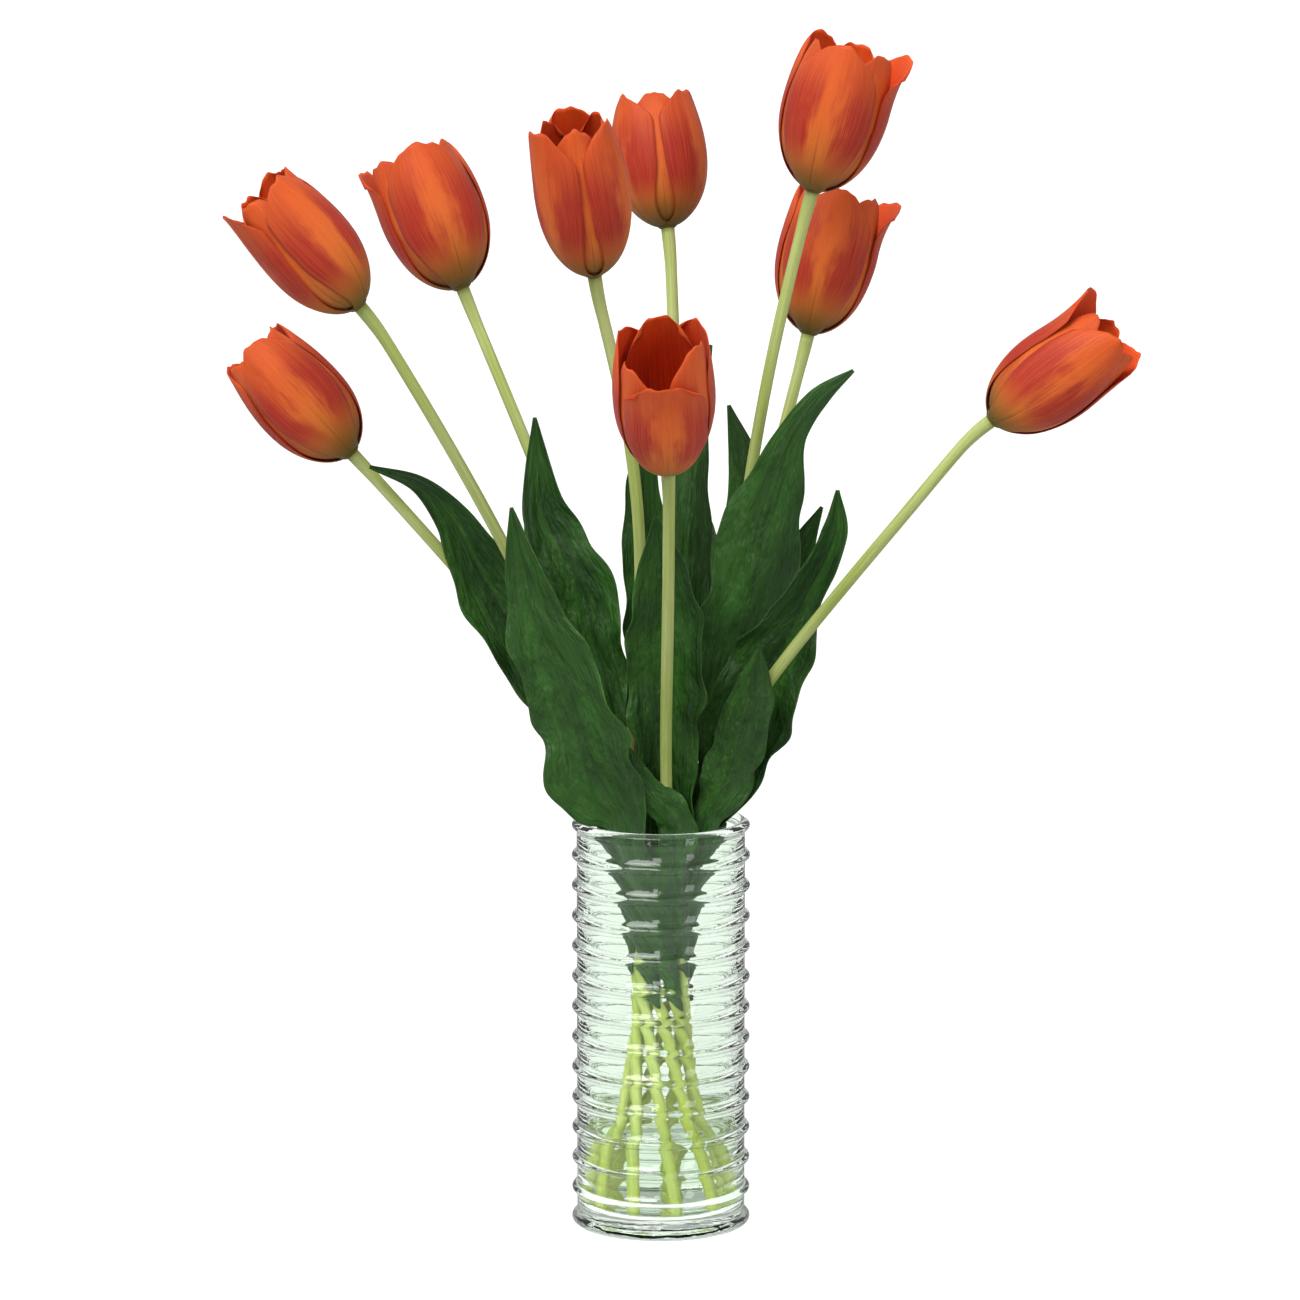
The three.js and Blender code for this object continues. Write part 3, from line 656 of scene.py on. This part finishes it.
def leaf_middle(leaf, q, v):
    """Places on the middle of one leaf. q runs from -1 to 1 across it and v from sheath to tip."""
    outward = polar(1, leaf["side"])
    stem = paths[leaf["stem"] - 1]
    sheath = [stem_at(stem, leaf["foot"] + rise) + outward * SEAT for rise in SHEATH_RISES]
    spine = smooth_curve(sheath + [np.array(row[:3], float) for row in leaf["midrib"]])
    width = smooth_curve([[h] for h in SHEATH_HALVES + tuple(row[3] for row in leaf["midrib"])])
    t = evenly(spine, v)
    share = smoothstep(v, 0.2, 0.5)[:, None]
    facing = -outward * (1 - share) + unit(leaf["face"]) * share
    forward = heading(spine, t)
    side = unit(np.cross(forward, facing))
    face = np.cross(side, forward)
    half = np.maximum(width(t)[:, 0], 0.3 + 0.5 * (v < 0.9))[:, None]
    arc = np.minimum(half / SEAT, 1.25)
    arc = arc + (leaf["fold"] * DEG - arc) * smoothstep(v, 0, 0.4)[:, None]
    sign, across = np.sign(q), np.abs(q)
    swell = np.sin(math.pi * v)[:, None]
    v = v[:, None]
    seed = leaf["side"]
    ripple = leaf["wave"] * swell * q * q * np.sin(20 * v + 1.8 * sign + seed)
    broad = smoothstep(half, 6, 16)
    quick = 2.3 * swell * across**3 * np.sin(44 * v + 2.6 * sign + seed) * broad
    twist = 1.3 * swell * q * np.sin(13 * v + 1.7 * seed) * broad
    crease = -0.7 * np.exp(-((q / 0.06) ** 2)) * smoothstep(v, 0.12, 0.4) * (1 - v)
    uneven = 1.7 * fine_noise(3.2 * q, 13 * v, seed) * smoothstep(v, 0.12, 0.35) * (1 - v) ** 0.6
    valley = 0.17 * half * math.copysign(1, leaf["fold"]) * np.sqrt(q * q + 0.003) * smoothstep(v, 0.2, 0.4)
    ruffle = 0.08 * np.sin(36 * v + 2.1 * sign + 1.3 * seed) + 0.04 * np.sin(61 * v - 1.4 * sign + seed)
    ruffle = 1 + swell * across**2 * ruffle
    bend = half * (1 - np.cos(arc * q)) / arc + valley
    reach = half * np.sin(arc * q) / arc * ruffle
    return (spine(t)[:, None] + side[:, None] * reach[..., None]
            + face[:, None] * (bend + ripple + quick + twist + crease + uneven)[..., None])


leaves = []
for number, leaf in enumerate(LEAVES, 1):
    q, v = np.linspace(-1, 1, LEAF_COLUMNS)[None, :], np.linspace(0, 1, LEAF_ROWS)
    middle = leaf_middle(leaf, q, v)
    across = np.broadcast_to(q, middle.shape[:2])
    along = np.broadcast_to(v[:, None], middle.shape[:2])
    thick = LEAF_THICK - LEAF_EDGE * smoothstep(np.maximum(np.abs(across), along), 0.5, 1)
    points, faces = sheet(middle, thick)
    marks = sheet_marks(across, along, (0.0, 1.0), number * 3.7)
    leaves.append(new_piece(f"long_leaf_{number}", points, faces, f"leaf_{number}", "leaf", marks))
print("leaves:", len(leaves), "faces in each:", len(leaves[0].data.polygons))

# %% [markdown]
# ## Leaf bases in the glass
#
# Below the rim every stem is clasped by the narrow green foot of a leaf, and together these fill the upper
# half of the glass with dark green. Each is a short channel against the outer side of its stem, wide at the
# rim and rounded off lower down.

# %% Leaf bases
BASE_TOP = 229  # height of their upper ends, just under the rim
BASE_FEET = (142, 124, 152, 120, 158, 130, 148, 126, 138)  # heights of their lower ends
BASE_ROWS, BASE_COLUMNS, BASE_THICK = 60, 13, 0.7


def base_middle(path, lowest, number, q, v):
    """Places on the middle of one leaf base. q runs from -1 to 1 across it and v from its lower end up."""
    spine = np.array([stem_at(path, z) for z in lowest + (BASE_TOP - lowest) * v])
    outward = unit(spine * np.array([1, 1, 0]))
    forward = unit(np.gradient(spine, axis=0))
    side = unit(np.cross(forward, -outward))
    half = (0.4 + (2.2 + 10.0 * smoothstep(v, -0.2, 0.8)) * np.minimum(v / 0.16, 1) ** 0.6)[:, None]
    seat = (SEAT + 4.5 * smoothstep(v, 0.45, 1))[:, None]
    arc = np.minimum(half / SEAT, 1.05)
    wave = 0.5 * np.sin(9 * v[:, None] + 2 * q + number) * np.abs(q)
    inward = half * (1 - np.cos(arc * q)) / arc + wave
    across_stem = half * np.sin(arc * q) / arc
    middle = (spine + outward * seat)[:, None] + side[:, None] * across_stem[..., None]
    return middle - outward[:, None] * inward[..., None]


for number, lowest in enumerate(BASE_FEET, 1):
    q, v = np.linspace(-1, 1, BASE_COLUMNS)[None, :], np.linspace(0, 1, BASE_ROWS)
    middle = base_middle(paths[number - 1], lowest, number, q, v)
    points, faces = sheet(middle, BASE_THICK)
    across, along = np.broadcast_to(q, middle.shape[:2]), np.broadcast_to(0.3 * v[:, None], middle.shape[:2])
    marks = sheet_marks(across, along, (1.0, 0.0), number * 5.3)
    leaves.append(new_piece(f"leaf_base_{number}", points, faces, None, "leaf", marks))
print("leaf bases:", len(BASE_FEET))

# %% [markdown]
# ## Shader groups that the plants share
#
# Petals, leaves and stems are all drawn lengthwise: veins, streaks and blushes run from foot to tip. One
# node group makes such streaks from the two numbers stored on the mesh, and another finds the edge of a
# strip. Each material places them with its own values. A third group gives a soft cloud of variation in
# the object's own space, so that no two places have quite the same colour.

# %% Node helpers
def plug(tree, socket, value):
    """Links another node's output to the socket, or sets the socket's own value."""
    if isinstance(value, bpy.types.NodeSocket):
        tree.links.new(value, socket)
    else:
        socket.default_value = value


class Nodes:
    """A short way to write a node tree: each call makes one node and returns its output."""

    def __init__(self, tree):
        self.tree = tree

    def node(self, kind, output=0, inputs=None, **settings):
        made = self.tree.nodes.new(kind)
        for name, value in settings.items():
            setattr(made, name, value)
        for socket, value in (inputs or {}).items():
            plug(self.tree, made.inputs[socket], value)
        return made.outputs[output]

    def math(self, operation, a, b=0.0, c=0.0):
        return self.node("ShaderNodeMath", operation=operation, inputs={0: a, 1: b, 2: c})

    def scale(self, value, factor, start):
        """The value times the factor, plus the start."""
        return self.math("MULTIPLY_ADD", value, factor, start)

    def rise(self, value, low, high):
        """0 below low and 1 above high, with a soft step between."""
        return self.node("ShaderNodeMapRange", interpolation_type="SMOOTHSTEP",
                         inputs={"Value": value, "From Min": low, "From Max": high})

    def mix(self, share, a, b, blend="MIX"):
        made = self.tree.nodes.new("ShaderNodeMix")
        made.data_type = "RGBA"
        made.blend_type = blend
        for socket, value in ((0, share), (6, a), (7, b)):
            plug(self.tree, made.inputs[socket], value)
        return made.outputs[2]

    def tint(self, mask, share, under, over, blend="MIX"):
        """The colour under with the colour over laid on it, by a share of the mask."""
        return self.mix(self.math("MULTIPLY", mask, share), under, over, blend)

    def bump(self, strength, distance, height, **more):
        return self.node("ShaderNodeBump", inputs={
            "Strength": strength, "Distance": distance, "Height": height, **more})

    def marks(self, *names):
        """The numbers that the mesh stores under these names."""
        return [self.node("ShaderNodeAttribute", output="Fac", attribute_name=name) for name in names]

    def ramp(self, value, stops):
        made = self.tree.nodes.new("ShaderNodeValToRGB")
        made.color_ramp.interpolation = "B_SPLINE"
        points = made.color_ramp.elements
        while len(points) < len(stops):
            points.new(0.5)
        for point, (place, colour) in zip(points, stops):
            point.position, point.color = place, colour
        self.tree.links.new(value, made.inputs[0])
        return made.outputs[0]


def shader_group(name, inputs, outputs):
    """An empty node group with named inputs and outputs."""
    tree = bpy.data.node_groups.new(name, "ShaderNodeTree")
    for socket, value in inputs.items():
        made = tree.interface.new_socket(name=socket, in_out="INPUT", socket_type="NodeSocketFloat")
        made.default_value = value
    for socket in outputs:
        tree.interface.new_socket(name=socket, in_out="OUTPUT", socket_type="NodeSocketFloat")
    return tree, Nodes(tree), tree.nodes.new("NodeGroupInput"), tree.nodes.new("NodeGroupOutput")


def placed_group(nodes, tree, **inputs):
    """The output of a group placed in a material, with its own values."""
    made = nodes.tree.nodes.new("ShaderNodeGroup")
    made.node_tree = tree
    for socket, value in inputs.items():
        plug(nodes.tree, made.inputs[socket], value)
    return made.outputs[0]


def colour(red, green, blue):
    """A colour from its values as seen on a screen, 0 to 255, for a shader."""
    def linear(c):
        c = c / 255
        return c / 12.92 if c <= 0.04045 else ((c + 0.055) / 1.055) ** 2.4
    return (linear(red), linear(green), linear(blue), 1.0)


# %% Lengthwise streaks
streaks, n, gin, gout = shader_group(
    "lengthwise streaks", {"Across": 0, "Along": 0, "Seed": 0, "Fineness": 12, "Stretch": 1.5}, ["Streak"])
place = n.node("ShaderNodeCombineXYZ", inputs={
    0: n.math("MULTIPLY", gin.outputs["Across"], gin.outputs["Fineness"]),
    1: n.math("MULTIPLY", gin.outputs["Along"], gin.outputs["Stretch"]),
    2: gin.outputs["Seed"]})
grain = n.node("ShaderNodeTexNoise", inputs={"Vector": place, "Scale": 1.0, "Detail": 3.0, "Roughness": 0.55})
streaks.links.new(n.rise(grain, 0.3, 0.7), gout.inputs["Streak"])

# %% The edge of a strip
edge_band, n, gin, gout = shader_group("edge of a strip", {"Across": 0, "Start": 0.85}, ["Edge"])
from_middle = n.math("ABSOLUTE", gin.outputs["Across"])
edge_band.links.new(n.rise(from_middle, gin.outputs["Start"], 1.0), gout.inputs["Edge"])

# %% Soft clouds
clouds, n, gin, gout = shader_group("soft clouds", {"Size": 0.02, "Seed": 0}, ["Cloud"])
coordinates = n.node("ShaderNodeTexCoord", output="Object")
cloud = n.node("ShaderNodeTexNoise", noise_dimensions="4D", inputs={
    "Vector": coordinates, "W": gin.outputs["Seed"], "Detail": 2.0,
    "Scale": n.math("DIVIDE", 1.0, gin.outputs["Size"])})
clouds.links.new(n.rise(cloud, 0.3, 0.7), gout.inputs["Cloud"])
print("groups:", [tree.name for tree in (streaks, edge_band, clouds)])


# %% Streaks in a material, and a new material
def drawn(n, across, along, seed, *grades):
    """Lengthwise streaks on a strip, one output for each grade of fineness and stretch."""
    return [placed_group(n, streaks, Across=across, Along=along, Seed=seed,
                         Fineness=fineness, Stretch=stretch) for fineness, stretch in grades]


def new_material(name, **constants):
    """A material with one Principled shader. Returns it, its nodes and the shader."""
    material = bpy.data.materials.new(name)
    material.use_nodes = True
    tree = material.node_tree
    shader = tree.nodes["Principled BSDF"]
    for socket, value in constants.items():
        shader.inputs[socket.replace("_", " ")].default_value = value
    return material, Nodes(tree), shader


def feed(nodes, shader, **sources):
    """Links outputs to the shader's sockets of these names."""
    for socket, source in sources.items():
        nodes.tree.links.new(source, shader.inputs[socket.replace("_", " ")])


def paint(material, pieces):
    for piece in pieces:
        piece.data.materials.append(material)


# %% [markdown]
# ## The petals' finish
#
# Each petal is orange with a paler, yellower band up its middle and a crimson flush on both flanks. Its foot
# is olive green. Inside, the cup runs from nearly black red at the bottom to bright orange-red at the lip:
# the orange-red is the petal's own, and the darkening towards the bottom is painted shade deep in the cup,
# with less of it near the petal's edges.
# All of this depends only on how far along and across the petal a point lies, so it is painted from the two
# stored numbers, broken up by lengthwise streaks.

# %% Petal material
petal, n, shader = new_material("tulip petal", Roughness=0.55, Sheen_Weight=0.04, Sheen_Roughness=0.4,
                                Subsurface_Weight=0.1, Subsurface_Scale=0.003, Specular_IOR_Level=0.18)
across, along, inside, seed = n.marks("across", "along", "inside", "seed")
broad, fine, finest = drawn(n, across, along, seed, (2.0, 2.2), (20, 1.3), (55, 2))
from_middle = n.math("ABSOLUTE", across)
wander = n.scale(n.math("SUBTRACT", broad, 0.5), 0.45, from_middle)
wander = n.scale(n.math("SUBTRACT", fine, 0.5), 0.1, wander)
flank = n.rise(wander, 0.0, 0.48)
lower, upper = n.rise(along, 0.08, 0.36), n.rise(along, 1.0, 0.55)
flush = n.math("MULTIPLY", flank, n.math("MULTIPLY", lower, n.scale(upper, 0.85, 0.15)))
band = n.ramp(along, [(0.0, colour(92, 84, 30)), (0.06, colour(128, 96, 34)), (0.2, colour(204, 114, 46)),
                      (0.5, colour(216, 100, 40)), (0.8, colour(212, 88, 34)), (1.0, colour(206, 78, 30))])
outer = n.tint(flush, 0.95, band, colour(160, 24, 30))
outer = n.tint(n.math("MULTIPLY", finest, lower), 0.24, outer, colour(236, 128, 62))
midline = n.math("MULTIPLY", n.rise(n.scale(fine, 0.02, from_middle), 0.045, 0.012),
                 n.rise(along, 0.5, 0.1))
outer = n.tint(midline, 0.55, outer, colour(112, 74, 34))
rim = placed_group(n, edge_band, Across=across, Start=0.92)
outer = n.tint(rim, 0.35, outer, colour(150, 50, 28))
own = placed_group(n, streaks, Seed=seed)  # one value for the whole petal
outer = n.tint(own, 0.7, outer, colour(228, 206, 200), "MULTIPLY")
# painted shade: the inside of the cup darkens towards its bottom, and the next lines paint less of it near
# the petal's edges
cup = n.ramp(along, [(0.0, colour(56, 20, 10)), (0.22, colour(106, 16, 8)), (0.45, colour(176, 32, 10)),
                     (0.75, colour(218, 60, 18)), (1.0, colour(216, 82, 32))])
cup = n.tint(n.rise(from_middle, 0.4, 0.85), 0.75, cup, colour(206, 60, 22))
cup = n.tint(fine, 0.25, cup, colour(236, 96, 30))
feed(n, shader, Base_Color=n.mix(inside, outer, cup))
height = n.scale(fine, 0.5, n.math("MULTIPLY", finest, 0.35))
feed(n, shader, Normal=n.bump(0.4, 0.0005, height), Roughness=n.scale(broad, 0.12, 0.46))
paint(petal, blooms)
print("petals painted:", len(blooms))

# %% [markdown]
# ## The leaves' finish
#
# Tulip leaves are deep green and satin, and their parallel veins run from the sheath to the tip. The under
# side is a little paler. The veins are both a colour and a slight relief, so the same streaks feed the
# colour and the bump. A second, much larger relief makes the soft folds that run along a leaf. The crease
# down the midrib is darkened in the colour: that is painted shade.

# %% Leaf material
leaf_green, n, shader = new_material("tulip leaf", Subsurface_Weight=0.05, Subsurface_Scale=0.002,
                                     Subsurface_Radius=(0.4, 0.8, 0.2), Specular_IOR_Level=0.32)
across, along, inside, seed = n.marks("across", "along", "inside", "seed")
broad, veins, hair, folds = drawn(n, across, along, seed, (1.8, 4), (24, 1.6), (70, 3), (2.6, 11))
cloud = placed_group(n, clouds, Size=0.03, Seed=seed)
green = n.mix(broad, colour(16, 50, 10), colour(48, 100, 24))
green = n.tint(veins, 0.4, green, colour(60, 110, 36))
green = n.tint(cloud, 0.4, green, colour(16, 46, 14))
# painted shade: the crease down the midrib is darkened in the colour, as if in shadow
midrib = n.rise(n.math("ABSOLUTE", across), 0.09, 0.0)
green = n.tint(midrib, 0.5, green, colour(10, 34, 10))
green = n.tint(inside, 0.2, green, colour(64, 106, 48))
rim = placed_group(n, edge_band, Across=across, Start=0.95)
green = n.tint(rim, 0.35, green, colour(80, 122, 50))
own = placed_group(n, streaks, Seed=seed)  # one value for the whole leaf
green = n.tint(own, 0.8, green, colour(206, 204, 190), "MULTIPLY")
feed(n, shader, Base_Color=green, Roughness=n.scale(veins, 0.16, 0.36))
height = n.scale(veins, 0.7, n.math("MULTIPLY", hair, 0.3))
feed(n, shader, Normal=n.bump(0.5, 0.0007, height, Normal=n.bump(0.5, 0.006, folds)))
paint(leaf_green, leaves)
print("leaves painted:", len(leaves))

# %% [markdown]
# ## The stems and what the blooms hold
#
# Stems are a pale yellow-green, with fine lengthwise lines, and paler towards the flower. The seed vessel is
# a like green with a creamy stigma, and the stamens are nearly black.

# %% Stem, seed vessel and stamen materials
stem_green, n, shader = new_material("tulip stem", Subsurface_Weight=0.1, Subsurface_Scale=0.003,
                                     Subsurface_Radius=(0.6, 0.8, 0.2), Specular_IOR_Level=0.3)
across, along, seed = n.marks("across", "along", "seed")
lines, patch = drawn(n, across, along, seed, (14, 6), (1.5, 7))
green = n.ramp(along, [(0.0, colour(182, 182, 60)), (0.15, colour(162, 170, 66)),
                       (0.45, colour(138, 156, 66)), (0.75, colour(160, 176, 88)),
                       (1.0, colour(174, 187, 104))])
green = n.tint(patch, 0.5, green, colour(208, 212, 156))
green = n.tint(lines, 0.4, green, colour(116, 134, 56))
feed(n, shader, Base_Color=green, Roughness=n.scale(lines, 0.15, 0.38),
     Normal=n.bump(0.4, 0.0004, lines))
paint(stem_green, stems)

pistil_green, n, shader = new_material("seed vessel", Roughness=0.5, Specular_IOR_Level=0.4)
[along] = n.marks("along")
cloud = placed_group(n, clouds, Size=0.003, Seed=3)
body = n.ramp(along, [(0.0, colour(150, 160, 80)), (0.7, colour(176, 184, 104)),
                      (0.84, colour(220, 208, 130)), (1.0, colour(236, 222, 150))])
feed(n, shader, Base_Color=n.tint(cloud, 0.25, body, colour(120, 140, 60)), Normal=n.bump(0.3, 0.0003, cloud))
paint(pistil_green, pistils)

anther_dark, n, shader = new_material("anthers", Roughness=0.75, Specular_IOR_Level=0.3)
[along] = n.marks("along")
dust = placed_group(n, clouds, Size=0.0009, Seed=5)
body = n.mix(along, colour(92, 60, 56), colour(38, 22, 34))
feed(n, shader, Base_Color=n.tint(dust, 0.35, body, colour(120, 92, 60)), Normal=n.bump(0.5, 0.0002, dust))
paint(anther_dark, stamens)
print("stems, seed vessels and stamens painted")

# %% [markdown]
# ## Glass and water
#
# Pressed glass of this kind is clear with a green cast that deepens where one looks along the wall. A
# Principled shader with full transmission bends and mirrors light. Its shadow would be far too dark,
# because lamps can't be sampled through bent light, so shadow rays meet a plain transparent shader instead.
# Fine unevenness in the surface breaks up the reflections as pressing does.

# %% Glass and water materials
def clear_material(name, tint, shadow_tint, ior, size, strength):
    """A clear material with slight unevenness of the given size, whose shadows are light."""
    material, n, shader = new_material(name, Transmission_Weight=1.0, IOR=ior, Roughness=0.0)
    shader.inputs["Base Color"].default_value = tint
    cloud = placed_group(n, clouds, Size=size, Seed=1.0)
    feed(n, shader, Normal=n.bump(strength, 0.0006, cloud))
    passing = n.node("ShaderNodeBsdfTransparent", inputs={"Color": shadow_tint})
    shadow = n.node("ShaderNodeLightPath", output="Is Shadow Ray")
    both = n.node("ShaderNodeMixShader", inputs={0: shadow, 1: shader.outputs[0], 2: passing})
    n.tree.links.new(both, n.tree.nodes["Material Output"].inputs["Surface"])
    return material


clear_glass = clear_material("clear green glass", colour(240, 248, 240), colour(240, 247, 241), 1.42,
                             0.012, 0.2)
clear_water = clear_material("water", colour(244, 251, 242), colour(248, 252, 248), 1.33, 0.02, 0.05)
paint(clear_glass, [glass])
paint(clear_water, [water])
print("glass and water painted")

# %% [markdown]
# ## Floor and light
#
# The bouquet stands on a plain white floor that fills the whole picture, in soft studio light. The photograph
# shows no shadow on it, so the floor glows a little where it is seen, directly or through the glass. It
# doesn't glow for light that bounces off it or for mirrored light: that would lift the shade out of the folds
# and whiten the glass. The world is pale, with a grey band near the horizon that is darkest on the camera's
# side: clear glass has no colour of its own, and shows its shape only by bending something dark into view.

# %% The floor
FLOOR_HALF = 40.0  # metres
floor_mesh = bpy.data.meshes.new("studio_floor")
corners = [(FLOOR_HALF * x, FLOOR_HALF * y, 0) for x, y in ((-1, -1), (1, -1), (1, 1), (-1, 1))]
floor_mesh.from_pydata(corners, [], [(0, 1, 2, 3)])
studio_floor = bpy.data.objects.new("studio_floor", floor_mesh)
bpy.context.collection.objects.link(studio_floor)
floor_white, n, shader = new_material("studio floor", Roughness=0.9, Specular_IOR_Level=0.0,
                                      Emission_Strength=1.0)
cloud = placed_group(n, clouds, Size=0.6, Seed=2.0)
white = n.mix(cloud, (0.41, 0.41, 0.41, 1), (0.42, 0.42, 0.42, 1))
bounced = n.node("ShaderNodeLightPath", output="Is Diffuse Ray")
rays = bounced.node.outputs
mirrored = n.math("SUBTRACT", rays["Is Glossy Ray"], rays["Is Transmission Ray"])
unseen = n.math("MAXIMUM", bounced, mirrored)
feed(n, shader, Base_Color=white, Emission_Color=n.mix(unseen, (0.66, 0.66, 0.66, 1), (0, 0, 0, 1)))
floor_mesh.materials.append(floor_white)

# %% The world and the lamps
world = bpy.data.worlds.new("studio")
bpy.context.scene.world = world
world.use_nodes = True
n = Nodes(world.node_tree)
direction = n.node("ShaderNodeTexCoord", output="Generated")
height = n.node("ShaderNodeSeparateXYZ", output="Z", inputs={0: direction})
sky = n.ramp(n.node("ShaderNodeMapRange", inputs={"Value": height, "From Min": -0.2, "From Max": 1.0}), [
    (0.0, (0.9, 0.9, 0.9, 1)), (0.16, (0.6, 0.62, 0.61, 1)), (0.24, (0.36, 0.38, 0.37, 1)),
    (0.4, (0.8, 0.81, 0.81, 1)), (0.7, (0.9, 0.9, 0.9, 1)), (1.0, (0.75, 0.75, 0.75, 1))])
towards_front = n.rise(n.math("MULTIPLY", height.node.outputs["Y"], -1.0), 0.0, 0.6)
low = n.rise(height, 0.6, 0.2)
sky = n.mix(n.math("MULTIPLY", n.math("MULTIPLY", towards_front, low), 0.8), sky, (0.08, 0.08, 0.08, 1))
background = world.node_tree.nodes["Background"]
world.node_tree.links.new(sky, background.inputs["Color"])
background.inputs["Strength"].default_value = 0.72


def facing_bouquet(lamp, place):
    """Puts a lamp at a place, turned towards the middle of the bouquet."""
    made = bpy.data.objects.new(lamp.name, lamp)
    made.location = place
    made.rotation_euler = (Vector((0, 0, 0.35)) - Vector(place)).to_track_quat("-Z", "Y").to_euler()
    bpy.context.collection.objects.link(made)


key = bpy.data.lights.new("key light", "SUN")
key.energy = 2.9
key.angle = 38 * DEG
facing_bouquet(key, (-1.3, -2.0, 3.2))
for name, place, size, power in (("front lamp", (-0.3, -2.7, 1.9), (0.5, 0.9), 10),
                                 ("right lamp", (1.9, -2.1, 1.4), (0.6, 1.3), 12)):
    panel = bpy.data.lights.new(name, "AREA")
    panel.shape = "RECTANGLE"
    panel.size, panel.size_y = size
    panel.energy = power
    facing_bouquet(panel, place)
bpy.context.scene.view_settings.view_transform = "Standard"
print("lamps:", len(bpy.data.lights))
